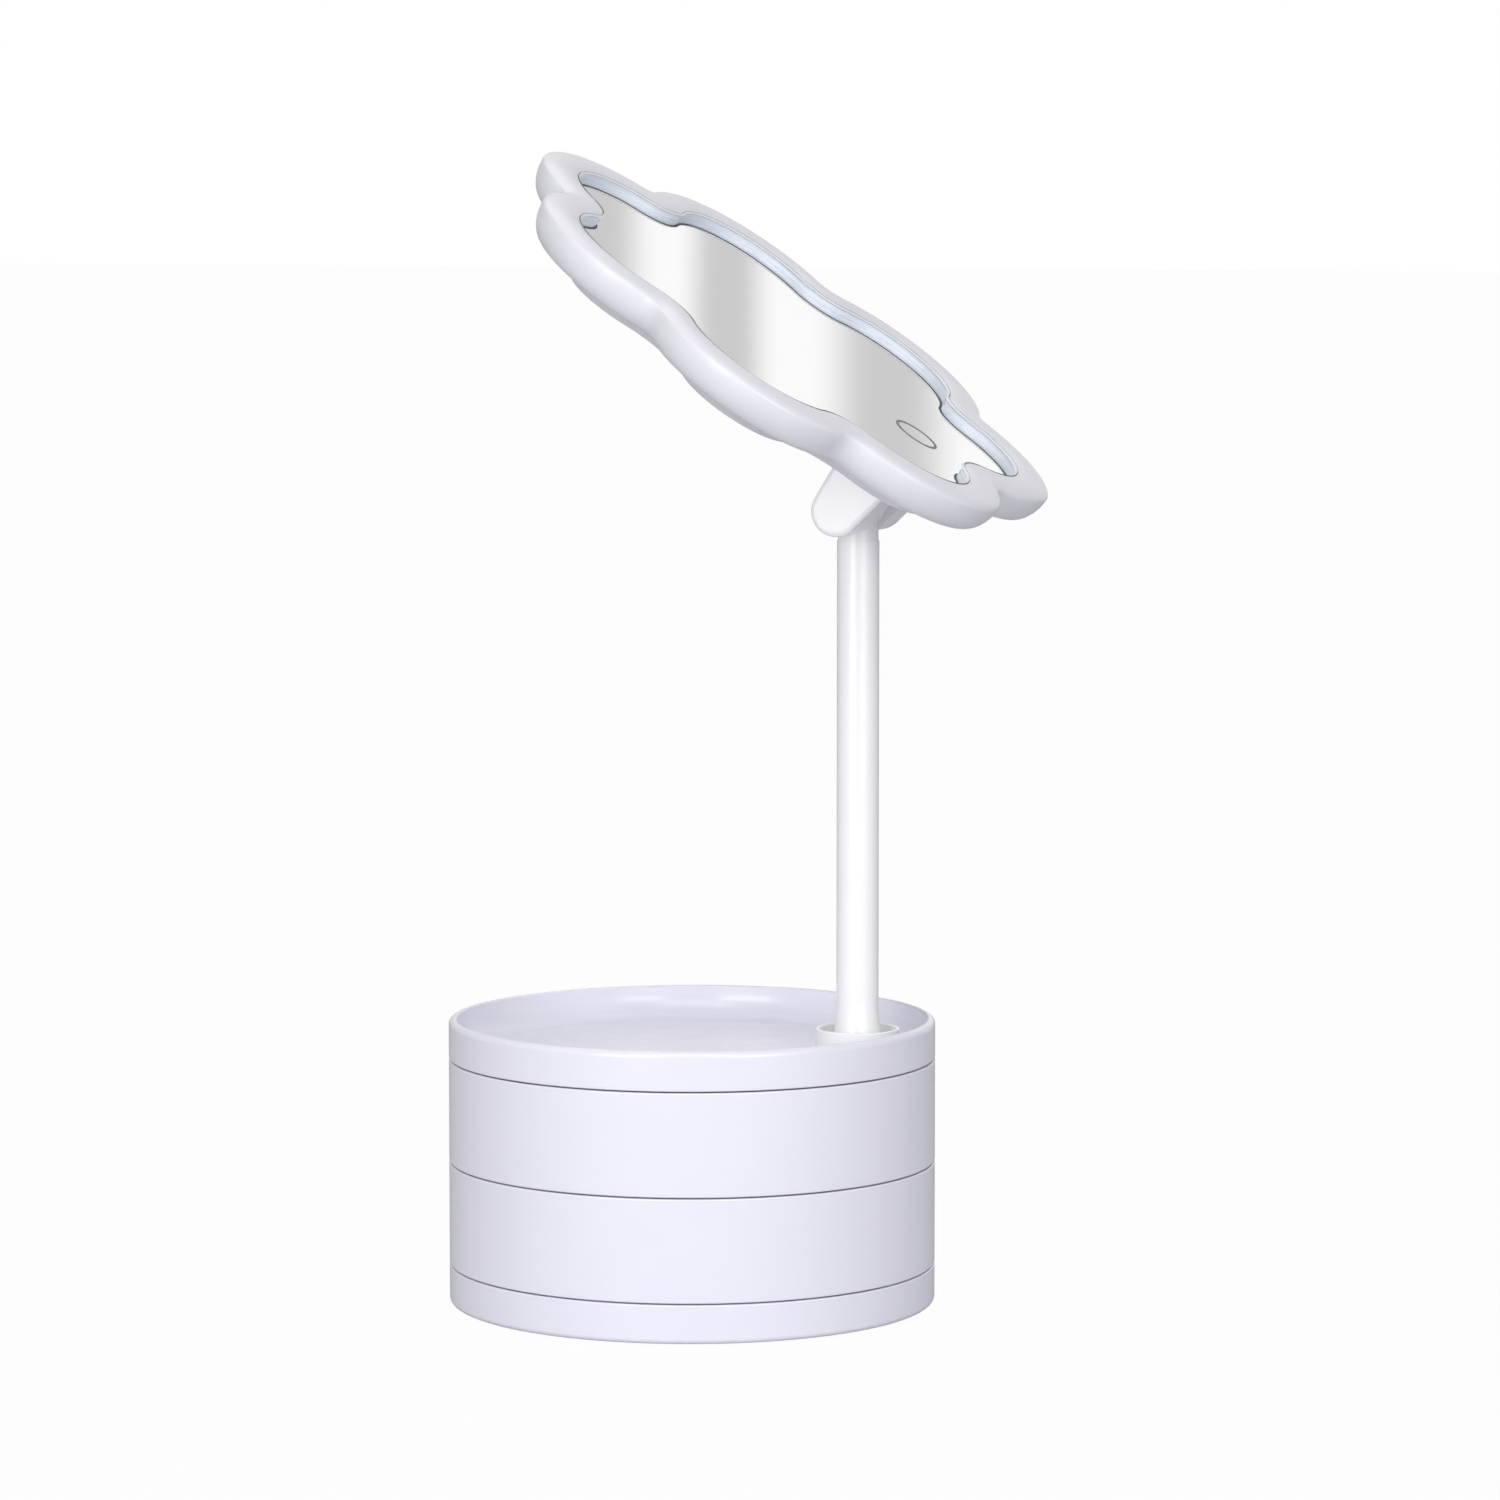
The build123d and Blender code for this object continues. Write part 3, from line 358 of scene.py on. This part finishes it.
class Finish(Enum):
    """Finishes of the object, by what each one is."""

    # ABS, injection moulded in a polished tool: high gloss, cool lilac white, a faint ripple in reflections.
    BASE_ABS = MouldedPlastic("abs_lilac_white_gloss_moulded", "#ECEBF6", "#E9E8F3", 0.16, 0.06, 9.0, 0.010)
    # ABS, injection moulded in a polished tool: clean neutral white with a soft gloss.
    WHITE_ABS = MouldedPlastic("abs_white_gloss_moulded", "#F8F8F9", "#F4F4F6", 0.2, 0.07, 9.0, 0.010)
    # The same ABS in the head, from a satin tool: broad soft highlights. Its colour is a little greyer than
    # the white ABS as painted shade, which darkens the head as if less light fell on its face.
    SHADED_HEAD_ABS = MouldedPlastic("abs_white_satin_painted_shade", "#E5E5EA", "#E1E1E7", 0.3, 0.06, 9.0, 0.010)
    # Dark mid grey, painted shade: the two trims at the lip are dark rings that stand in for the shadow gap
    # under the lip, and read as a thin dark line beside the light strip.
    LIP_SHADOW_GREY = MouldedPlastic("lip_painted_shadow_grey", "#62656B", "#6A6D74", 0.55, 0.1, 4.0, 0.01)
    # ABS from a spark-eroded tool: dull, finely pebbled, for parts inside.
    INNER_ABS = MouldedPlastic("abs_white_matt_eroded", "#E2E3E6", "#DCDDE1", 0.55, 0.1, 6.0, 0.01,
                               grain_mm=0.5, grain_depth_mm=0.04)
    # Acetal, injection moulded: waxy, milky white, slightly warm, for what slides.
    ACETAL = MouldedPlastic("acetal_natural_moulded", "#E6E4DC", "#DEDCD3", 0.38, 0.08, 5.0, 0.015, ior=1.48)
    # Steel, turned and zinc plated: bright bluish grey with fine rings.
    ZINC_STEEL = WorkedMetal("steel_zinc_plated_turned", "#C4C8CE", "#A9AEB5", 0.26, 0.16, (2.5, 2.5, 0.3),
                             4.0, 0.012)
    # Steel plate, hot rolled and oiled: dark grey with a drawn-out lay and blue-black scale.
    ROLLED_STEEL = WorkedMetal("steel_plate_hot_rolled", "#6E7074", "#4A4C52", 0.42, 0.2, (18.0, 0.8, 0.8),
                               16.0, 0.05)
    # Float glass, silvered: near-perfect reflection, slightly cool.
    MIRROR = SilveredGlass("float_glass_silvered", "#FAFAFA", "#F5F5F5", 0.0)
    # Acrylic, opal and extruded: glows evenly with fine streaks along it.
    OPAL_ACRYLIC = LightGuide("acrylic_opal_diffuser", "#E9EEF6", "#DCE6F4", 0.12, 0.7, "#CBD3E0")
    # EVA foam sheet, die cut: matt grey with fine cells, darker in their pits as painted shade.
    EVA_FOAM = CellularSheet("eva_foam_die_cut", "#8C8E95", "#6F7178", 0.9)
    # Ink, screen printed on the glass: flat grey with the faint dots of the mesh.
    SCREEN_INK = PrintedLayer("ink_grey_screen_printed", "#6E7072", "#787A7C", 0.5, 0.6, 0.08)
    # Fibreglass board under green solder mask, with tracks just showing.
    CIRCUIT_BOARD = PrintedLayer("fibreglass_board_green_mask", "#2E6B4A", "#3F8560", 0.35, 2.4, 0.12)
    # Polyimide strip under white mask, with its copper edges just showing.
    LAMP_STRIP = PrintedLayer("polyimide_strip_white_mask", "#EDEDE6", "#C9A77A", 0.4, 5.0, 0.04)
    # Silicone with phosphor, cast over the lamp: pale yellow and softly glowing.
    PHOSPHOR = PrintedLayer("silicone_phosphor_cast", "#F2E29A", "#F6F2D8", 0.3, 1.6, 0.3, 0.6)
    # Aluminium laminate pouch, pressed: silver grey, softly creased.
    FOIL_POUCH = WorkedMetal("aluminium_laminate_pressed", "#B9BDC3", "#A7ABB1", 0.34, 0.14, (6.0, 6.0, 6.0),
                             9.0, 0.12)
    # Brass sheet, stamped: warm yellow with fine scratches, for the pad behind the touch ring.
    BRASS = WorkedMetal("brass_sheet_stamped", "#C9A85C", "#A98B4A", 0.3, 0.15, (4.0, 0.4, 0.4), 5.0, 0.01)


class Wardrobe:
    """Keeps each finish's material once and puts it on pieces."""

    def __init__(self) -> None:
        """Starts with no material built."""
        self.built: dict[Finish, bpy.types.Material] = {}

    def material(self, finish: Finish) -> bpy.types.Material:
        """Gives the finish's material, building it on first use.

        Args:
            finish: which finish.

        Returns:
            Its material.
        """
        if finish not in self.built:
            self.built[finish] = finish.value.build()
        return self.built[finish]

    def dress(self, piece: bpy.types.Object, finish: Finish) -> None:
        """Gives a piece one finish all over.

        Args:
            piece: mesh object.
            finish: which finish.
        """
        piece.data.materials.clear()
        piece.data.materials.append(self.material(finish))
        log.info("%s: %s", piece.name, finish.value.name)


WARDROBE = Wardrobe()


# ------------------------------------------------------------------ the object's own frame
@dataclass(frozen=True)
class Head:
    """Where the mirror head stands at rest, and the petal outline of its glass. Lengths in millimetres."""

    tilt: float = HEAD_TILT
    glass_place: tuple[float, float, float] = (0.0, -33.27, 318.26)
    petals: int = 7
    tip_radius: float = 87.7
    notch_radius: float = 72.5
    notch_fillet: float = 15.0
    petal_steps: int = 56
    notch_steps: int = 20

    @property
    def glass_centre(self) -> Vector:
        """Middle of the glass's face, in metres."""
        return Vector(self.glass_place) * MM

    @property
    def out(self) -> Vector:
        """Direction out of the glass."""
        return Vector((0, -math.cos(self.tilt), math.sin(self.tilt)))

    @property
    def along(self) -> Vector:
        """Direction from the middle of the glass to its top petal."""
        return Vector((0, math.sin(self.tilt), math.cos(self.tilt)))

    @property
    def petal_centre(self) -> float:
        """Distance from the middle of the glass to the middle of a petal's arc."""
        reach, notch = self.tip_radius + self.notch_fillet, self.notch_radius + self.notch_fillet
        return (reach ** 2 - notch ** 2) / (2 * (reach - notch * math.cos(math.pi / self.petals)))

    def place(self, x: float, y: float, z: float) -> Vector:
        """Turns a place on the head into the shared frame.

        Args:
            x: to the right over the glass, in millimetres.
            y: up over the glass.
            z: out of the glass.

        Returns:
            The same place in metres.
        """
        return self.glass_centre + (Vector((1, 0, 0)) * x + self.along * y + self.out * z) * MM

    def ring(self, reach: float, height: float, softness: float = 0.0) -> list[Vector]:
        """Points round the petal outline, moved outwards and out of the glass.

        Args:
            reach: how far outwards from the glass's edge, in millimetres.
            height: how far out of the glass.
            softness: how much rounder the notches are than an even offset makes them.

        Returns:
            Points in the shared frame, petal by petal, the same number for every ring.
        """
        half = math.pi / self.petals
        petal = self.tip_radius - self.petal_centre + reach
        notch = self.notch_fillet - reach + softness
        deep = (self.petal_centre * math.cos(half)
                + math.sqrt((petal + notch) ** 2 - (self.petal_centre * math.sin(half)) ** 2))
        sweep = math.atan2(deep * math.sin(half), deep * math.cos(half) - self.petal_centre)
        points = []
        for k in range(self.petals):
            middle = math.pi / 2 + 2 * half * k
            for j in range(self.petal_steps):
                angle = middle + sweep * (2 * j / self.petal_steps - 1)
                points.append((self.petal_centre * math.cos(middle) + petal * math.cos(angle),
                               self.petal_centre * math.sin(middle) + petal * math.sin(angle)))
            for j in range(self.notch_steps):
                angle = middle + half + math.pi + (sweep - half) * (1 - 2 * j / self.notch_steps)
                points.append((deep * math.cos(middle + half) + notch * math.cos(angle),
                               deep * math.sin(middle + half) + notch * math.sin(angle)))
        return [self.place(x, y, height) for x, y in points]


HEAD = Head()


def quarter(middle: Corner, radii: Corner, start: float, turn: float, steps: int) -> list[Corner]:
    """Points along part of an ellipse in a rim's section.

    Args:
        middle: reach and height of its middle.
        radii: its two radii.
        start: angle of the first point, in degrees.
        turn: angle to the last point, positive towards the front.
        steps: number of runs.

    Returns:
        Reach and height of each point.
    """
    angles = [math.radians(start + turn * k / steps) for k in range(steps + 1)]
    return [(middle[0] + radii[0] * math.cos(a), middle[1] + radii[1] * math.sin(a)) for a in angles]


@dataclass(frozen=True)
class PetalRim:
    """The puffy rim of seven petals, with soft folds between them, and two dark trims at its lip that are
    painted shade for the shadow gap under it.

    Lengths are in millimetres: a reach is measured outwards from the glass's edge, a height out of the glass.
    """

    lip_reach: float = 0.3
    lip_under: float = 2.1
    lip_top: float = 2.6
    lip_edge: tuple[Corner, ...] = ((-0.7, 2.24), (-0.72, 2.28), (-0.68, 2.32), (0.1, 2.8))
    crest_reach: float = 5.5
    crest_top: float = 3.7
    widest: float = 12.9
    belly: float = 1.0
    back_reach: float = 6.0
    back: float = -9.6
    back_round: float = 0.6
    seat: float = 4.4
    wall: float = 1.4
    fold_softness: float = 7.0
    under_sweep: float = 82.0
    lip_steps: int = 8
    belly_steps: int = 14
    hollow_steps: int = 8
    roof_steps: int = 6
    weld: float = 0.0005
    match_digits: int = 7
    smooth_angle: float = 38.0
    # Sections of the two dark trims: rings of painted shade for the shadow gap under the lip's inner edge.
    strip_shadow_section: tuple[Corner, ...] = ((-0.66, 2.24), (-0.66, 2.18), (0.14, 2.04), (0.3, 2.12))
    lip_shadow_section: tuple[Corner, ...] = ((0.42, 2.60), (0.14, 2.86), (0.06, 2.84), (0.1, 2.76), (0.34, 2.54))

    def soft(self, reach: float) -> float:
        """Extra roundness of the folds, which grows from the flat back edge to the widest line.

        Args:
            reach: how far outwards from the glass's edge.

        Returns:
            Millimetres that the notch's radius gains.
        """
        share = min(max((reach - self.back_reach) / (self.widest - self.back_reach), 0.0), 1.0)
        return self.fold_softness * share * share * (3 - 2 * share)

    def outside(self) -> list[Corner]:
        """Corners of the visible skin, from the lip over the crest and the belly to the flat back edge."""
        rise = self.crest_top - self.lip_top
        run = self.crest_reach - self.lip_reach
        radius = (run ** 2 + rise ** 2) / (2 * rise)
        half = math.degrees(math.asin(run / radius))
        crest = quarter((self.crest_reach, self.crest_top - radius), (radius, radius), 90 + half, -half,
                        self.lip_steps)
        front = quarter((self.crest_reach, self.belly),
                        (self.widest - self.crest_reach, self.crest_top - self.belly),
                        90, -90, self.belly_steps)
        under = quarter((self.back_reach, self.belly),
                        (self.widest - self.back_reach, self.belly - self.back),
                        0, -self.under_sweep, self.belly_steps)
        foot = [(self.back_reach, self.back), (self.seat + self.back_round / 2, self.back),
                (self.seat, self.back + self.back_round / 2)]
        return [*self.lip_edge, *crest, *front[1:], *under[1:], *foot]

    def inside(self) -> list[Corner]:
        """Corners of the hidden skin, one wall further in, from the back edge to the underside of the lip."""
        inner_back = self.back + self.wall
        rear = [(self.seat, inner_back), (self.back_reach, inner_back)]
        hollow = quarter((self.back_reach, self.belly),
                         (self.widest - self.wall - self.back_reach, self.belly - inner_back),
                         -self.under_sweep, self.under_sweep, self.hollow_steps)
        roof = quarter((self.crest_reach, self.belly),
                       (self.widest - self.wall - self.crest_reach, self.lip_under - self.belly), 0, 90,
                       self.roof_steps)
        return [*rear, *hollow, *roof[1:], (self.lip_reach, self.lip_under)]

    def section(self) -> Section:
        """Outline of the rim's hollow section: reach, height and softness of each ring, once round."""
        return [(reach, height, self.soft(reach)) for reach, height in self.outside() + self.inside()]

    def skin(self, name: str, section: Section) -> bpy.types.Object:
        """Models a closed ring: a circle is laid on the first outline and extruded from outline to outline.

        Args:
            name: the piece's name.
            section: reach, height and softness of each outline.

        Returns:
            The piece.
        """
        bpy.ops.object.select_all(action="DESELECT")
        last = [tuple(point) for point in HEAD.ring(*section[0])]
        bpy.ops.mesh.primitive_circle_add(vertices=len(last), radius=HEAD.tip_radius * MM)
        piece = bpy.context.object
        piece.name = name
        bpy.ops.object.mode_set(mode="EDIT")
        mesh = bmesh.from_edit_mesh(piece.data)
        mesh.verts.ensure_lookup_table()
        for vert, point in zip(mesh.verts, last):
            vert.co = point
        bmesh.update_edit_mesh(piece.data)
        for outline in section[1:] + section[:1]:
            following = HEAD.ring(*outline)
            bpy.ops.mesh.extrude_edges_move()
            mesh = bmesh.from_edit_mesh(piece.data)
            # The new edge starts out on the last outline, so each of its points is found there by its place.
            where = {tuple(round(v, self.match_digits) for v in point): k for k, point in enumerate(last)}
            for vert in [v for v in mesh.verts if v.select]:
                vert.co = following[where[tuple(round(v, self.match_digits) for v in vert.co)]]
            bmesh.update_edit_mesh(piece.data)
            last = [tuple(point) for point in following]
        bpy.ops.mesh.select_all(action="SELECT")
        bpy.ops.mesh.remove_doubles(threshold=self.weld * MM)
        bpy.ops.mesh.normals_make_consistent(inside=False)
        bpy.ops.object.mode_set(mode="OBJECT")
        bpy.ops.object.shade_smooth_by_angle(angle=math.radians(self.smooth_angle))
        return piece

    def build(self) -> None:
        """Models the rim and its two dark trims of painted shade at the lip, and dresses them."""
        rim = self.skin("petal_rim", self.section())
        WARDROBE.dress(rim, Finish.SHADED_HEAD_ABS)
        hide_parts("front_bezel")
        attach(rim, "head")
        # Each trim is a dark ring of painted shade that stands in for the shadow gap under the lip.
        for name, corners in (("strip_painted_shadow", self.strip_shadow_section), ("lip_painted_shadow", self.lip_shadow_section)):
            trim = self.skin(name, [(reach, height, 0.0) for reach, height in corners])
            WARDROBE.dress(trim, Finish.LIP_SHADOW_GREY)
            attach(trim, "head")


@dataclass(frozen=True)
class CarriedOver:
    """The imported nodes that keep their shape, and the finish of each."""

    finishes: dict[str, Finish] = field(default_factory=lambda: {
        "base_shell": Finish.BASE_ABS, "base_cover": Finish.BASE_ABS, "drawer_lower": Finish.BASE_ABS,
        "drawer_upper": Finish.BASE_ABS, "top_tray": Finish.BASE_ABS, "base_pad": Finish.EVA_FOAM,
        "base_screws": Finish.ZINC_STEEL, "ballast_plate": Finish.ROLLED_STEEL,
        "pivot_sleeve": Finish.ZINC_STEEL, "sleeve_nut": Finish.ZINC_STEEL, "glide_washers": Finish.ACETAL,
        "drawer_lower_bush": Finish.ACETAL, "drawer_upper_bush": Finish.ACETAL,
        "pole_collar": Finish.WHITE_ABS, "thrust_washer": Finish.ACETAL, "pole_tube": Finish.WHITE_ABS,
        "pole_core": Finish.ZINC_STEEL, "pole_washer": Finish.ZINC_STEEL, "pole_nut": Finish.ZINC_STEEL,
        "pole_knuckle": Finish.WHITE_ABS, "hinge_bracket": Finish.WHITE_ABS,
        "bracket_screws": Finish.ZINC_STEEL, "hinge_bolt": Finish.ZINC_STEEL, "hinge_nut": Finish.ZINC_STEEL,
        "friction_washers": Finish.ACETAL, "hinge_cap": Finish.WHITE_ABS, "front_bezel": Finish.SHADED_HEAD_ABS,
        "mirror_glass": Finish.MIRROR, "touch_mark": Finish.SCREEN_INK, "diffuser_ring": Finish.OPAL_ACRYLIC,
        "led_band": Finish.LAMP_STRIP, "led_chips": Finish.PHOSPHOR, "glass_carrier": Finish.INNER_ABS,
        "control_board": Finish.CIRCUIT_BOARD, "battery_pack": Finish.FOIL_POUCH, "touch_pad": Finish.BRASS,
        "usb_socket": Finish.ZINC_STEEL, "rear_cover": Finish.SHADED_HEAD_ABS, "rear_screws": Finish.ZINC_STEEL,
    })

    def dress(self) -> None:
        """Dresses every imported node."""
        for name, node in sorted(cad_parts.items()):
            WARDROBE.dress(node, self.finishes[name])


# ------------------------------------------------------------------ studio
@dataclass(frozen=True)
class GreyStrip:
    """One soft-edged grey strip that stands behind the object for the mirror to show."""

    name: str
    across: float
    half_width: float
    shade: str
    soft_share: float = 0.9

    def build(self, place: Matrix, height: float) -> None:
        """Stands the strip up.

        Args:
            place: middle and axes of the strips, with X across and Y up.
            height: the strip's height, in metres.
        """
        bpy.ops.object.select_all(action="DESELECT")
        bpy.ops.mesh.primitive_plane_add(size=1.0)
        strip = bpy.context.object
        strip.name = self.name
        strip.matrix_world = (place @ Matrix.Translation((self.across, 0, 0))
                              @ Matrix.Diagonal((2 * self.half_width, height, 1, 1)))
        strip.data.materials.append(self.card())

    def card(self) -> bpy.types.Material:
        """Makes the strip's card, which only glossy rays meet and which fades out at its edges.

        Returns:
            The material.
        """
        material, tree = new_material(self.name + "_card")
        place = add_node(tree, "ShaderNodeTexCoord").outputs["Object"]
        across = add_node(tree, "ShaderNodeSeparateXYZ", {}, {"Vector": place})
        away = add_node(tree, "ShaderNodeMath", {"operation": "ABSOLUTE"}, {0: across.outputs["X"]})
        middle = add_node(tree, "ShaderNodeMapRange",
                          {"interpolation_type": "SMOOTHERSTEP", "From Min": 0.5,
                           "From Max": 0.5 * (1 - self.soft_share), "To Min": 0.0, "To Max": 1.0},
                          {"Value": away.outputs[0]})
        rays = add_node(tree, "ShaderNodeLightPath")
        shown = add_node(tree, "ShaderNodeMath", {"operation": "MULTIPLY"},
                         {0: middle.outputs["Result"], 1: rays.outputs["Is Glossy Ray"]})
        clear = add_node(tree, "ShaderNodeBsdfTransparent")
        grey = add_node(tree, "ShaderNodeEmission", {"Color": linear(self.shade), "Strength": 1.0})
        both = add_node(tree, "ShaderNodeMixShader", {}, {0: shown.outputs[0], 1: clear.outputs[0],
                                                          2: grey.outputs[0]})
        add_node(tree, "ShaderNodeOutputMaterial", {}, {"Surface": both.outputs[0]})
        return material


@dataclass(frozen=True)
class Softbox:
    """One soft square lamp that faces the object. Lengths in metres."""

    name: str
    ahead: float
    aside: float
    above: float
    size: float
    watts: float

    def build(self, middle: Vector, towards: Vector, right: Vector) -> None:
        """Hangs the lamp.

        Args:
            middle: point that it faces, and from which its place is measured.
            towards: level direction to the camera.
            right: direction to the right in the picture.
        """
        place = middle + towards * self.ahead + right * self.aside + Vector((0, 0, self.above))
        bpy.ops.object.light_add(type="AREA", location=place,
                                 rotation=(middle - place).to_track_quat("-Z", "Y").to_euler())
        lamp = bpy.context.object
        lamp.name = self.name
        lamp.data.shape = "SQUARE"
        lamp.data.size = self.size
        lamp.data.energy = self.watts


@dataclass(frozen=True)
class Studio:
    """Pale floor, soft lamps, grey strips that the mirror shows, and the camera. Lengths in metres."""

    azimuth: float = math.radians(-70.63)
    distance: float = 1.962
    height: float = 0.3719
    aside: float = 0.01906
    pitch: float = math.radians(5.506)
    focal_mm: float = 144.4
    sensor_mm: float = 36.0
    nearest: float = 0.05
    farthest: float = 100.0
    floor_size: float = 40.0
    floor_shade: str = "#C8C8CB"
    floor_glow: float = 0.97
    soft_shade: str = "#F2F3F6"
    soft_level: float = 0.48
    clear_level: float = 1.0
    clear_cosine: float = 0.985
    far_level: float = 0.5
    far_cosine: float = 0.8
    lit_height: float = 0.2
    softboxes: tuple[Softbox, ...] = (
        Softbox("left_softbox", 1.8, -1.0, 0.3, 1.1, 16.0),
        Softbox("right_softbox", 1.8, 1.0, 0.3, 1.1, 11.5),
        Softbox("high_softbox", 1.3, 0.0, 1.4, 1.1, 9.0),
        Softbox("rear_softbox", -1.1, 0.0, 1.6, 1.2, 5.0),
    )
    strip_distance: float = 1.5
    strips: tuple[GreyStrip, ...] = (
        GreyStrip("grey_strip_left", -0.110, 0.040, "#CECECE"),
        GreyStrip("grey_strip_middle", -0.035, 0.032, "#CFCFCF"),
        GreyStrip("grey_strip_right", 0.058, 0.050, "#CFCFCF"),
    )

    @property
    def right(self) -> Vector:
        """Direction to the right in the picture."""
        return Vector((math.cos(self.azimuth), math.sin(self.azimuth), 0))

    @property
    def towards(self) -> Vector:
        """Level direction from the object to the camera."""
        return Vector((math.sin(self.azimuth), -math.cos(self.azimuth), 0))

    @property
    def lens(self) -> Vector:
        """Place of the camera."""
        return self.towards * self.distance + self.right * self.aside + Vector((0, 0, self.height))

    @property
    def aim(self) -> Vector:
        """Direction that the camera looks in."""
        return -self.towards * math.cos(self.pitch) - Vector((0, 0, math.sin(self.pitch)))

    def camera(self) -> None:
        """Places the camera at the photograph's viewing angle."""
        bpy.ops.object.camera_add(location=self.lens, rotation=self.aim.to_track_quat("-Z", "Y").to_euler())
        camera = bpy.context.object
        camera.name = "photograph_camera"
        camera.data.lens = self.focal_mm
        camera.data.sensor_width = self.sensor_mm
        camera.data.clip_start = self.nearest
        camera.data.clip_end = self.farthest
        bpy.context.scene.camera = camera

    def floor(self) -> None:
        """Lays the pale floor, which turns white for the camera but keeps the object's shadow."""
        bpy.ops.mesh.primitive_plane_add(size=self.floor_size, location=(0, 0, 0))
        floor = bpy.context.object
        floor.name = "studio_floor"
        material, tree = new_material("studio_floor_paper")
        rays = add_node(tree, "ShaderNodeLightPath")
        seen = add_node(tree, "ShaderNodeMath", {"operation": "MULTIPLY", 1: self.floor_glow},
                        {0: rays.outputs["Is Camera Ray"]})
        paper = add_node(tree, "ShaderNodeBsdfDiffuse", {"Color": linear(self.floor_shade)})
        glow = add_node(tree, "ShaderNodeEmission", {"Color": (1, 1, 1, 1), "Strength": 1.0})
        both = add_node(tree, "ShaderNodeMixShader", {}, {0: seen.outputs[0], 1: paper.outputs[0],
                                                          2: glow.outputs[0]})
        add_node(tree, "ShaderNodeOutputMaterial", {}, {"Surface": both.outputs[0]})
        floor.data.materials.append(material)

    def world(self) -> None:
        """Surroundings: white for the camera, a sweep from white to grey for gloss, else one soft level."""
        world = bpy.data.worlds.new("studio_surroundings")
        bpy.context.scene.world = world
        world.use_nodes = True
        tree = world.node_tree
        tree.nodes.clear()
        rays = add_node(tree, "ShaderNodeLightPath")
        ahead = add_node(tree, "ShaderNodeTexCoord").outputs["Generated"]
        side = add_node(tree, "ShaderNodeVectorMath",
                        {"operation": "DOT_PRODUCT", 1: tuple(self.mirror_line())}, {0: ahead})
        sweep = add_node(tree, "ShaderNodeMapRange",
                         {"From Min": self.far_cosine, "From Max": self.clear_cosine,
                          "To Min": self.far_level, "To Max": self.clear_level},
                         {"Value": side.outputs["Value"]})
        soft = add_node(tree, "ShaderNodeBackground",
                        {"Color": linear(self.soft_shade), "Strength": self.soft_level})
        swept = add_node(tree, "ShaderNodeBackground", {"Color": (1, 1, 1, 1)},
                         {"Strength": sweep.outputs["Result"]})
        white = add_node(tree, "ShaderNodeBackground", {"Color": (1, 1, 1, 1), "Strength": 1.0})
        gloss = add_node(tree, "ShaderNodeMath", {"operation": "MAXIMUM"},
                         {0: rays.outputs["Is Glossy Ray"], 1: rays.outputs["Is Transmission Ray"]})
        shown = add_node(tree, "ShaderNodeMixShader", {}, {0: gloss.outputs[0], 1: soft.outputs[0],
                                                           2: swept.outputs[0]})
        both = add_node(tree, "ShaderNodeMixShader", {},
                        {0: rays.outputs["Is Camera Ray"], 1: shown.outputs[0], 2: white.outputs[0]})
        add_node(tree, "ShaderNodeOutputWorld", {}, {"Surface": both.outputs[0]})

    def mirror_line(self) -> Vector:
        """Direction in which the camera looks on after the glass has turned its line of sight."""
        return (HEAD.glass_centre - self.lens).normalized().reflect(HEAD.out)

    def grey_strips(self) -> None:
        """Stands the strips square to the turned line of sight, level with the picture."""
        line = self.mirror_line()
        middle = HEAD.glass_centre + line * self.strip_distance
        across = self.right.reflect(HEAD.out)
        across = (across - line * across.dot(line)).normalized()
        up = line.cross(across)
        axes = Matrix((across, up, across.cross(up))).transposed().to_4x4()
        for strip in self.strips:
            strip.build(Matrix.Translation(middle) @ axes, self.strip_distance)

    def lamps(self) -> None:
        """Hangs the lamps beside the camera, the high one above it and the rear one."""
        for softbox in self.softboxes:
            softbox.build(Vector((0, 0, self.lit_height)), self.towards, self.right)

    def build(self) -> None:
        """Sets up the whole studio."""
        bpy.context.scene.view_settings.view_transform = "Standard"
        self.world()
        self.floor()
        self.grey_strips()
        self.lamps()
        self.camera()
        log.info("studio ready")


def main() -> None:
    """Dresses the imported pieces, models the rim and builds the studio, in order."""
    logging.basicConfig(level=logging.INFO, format="%(name)s: %(message)s")
    CarriedOver().dress()
    PetalRim().build()
    log.info("petal rim and its trims ready")
    Studio().build()


if __name__ == "__main__":
    main()
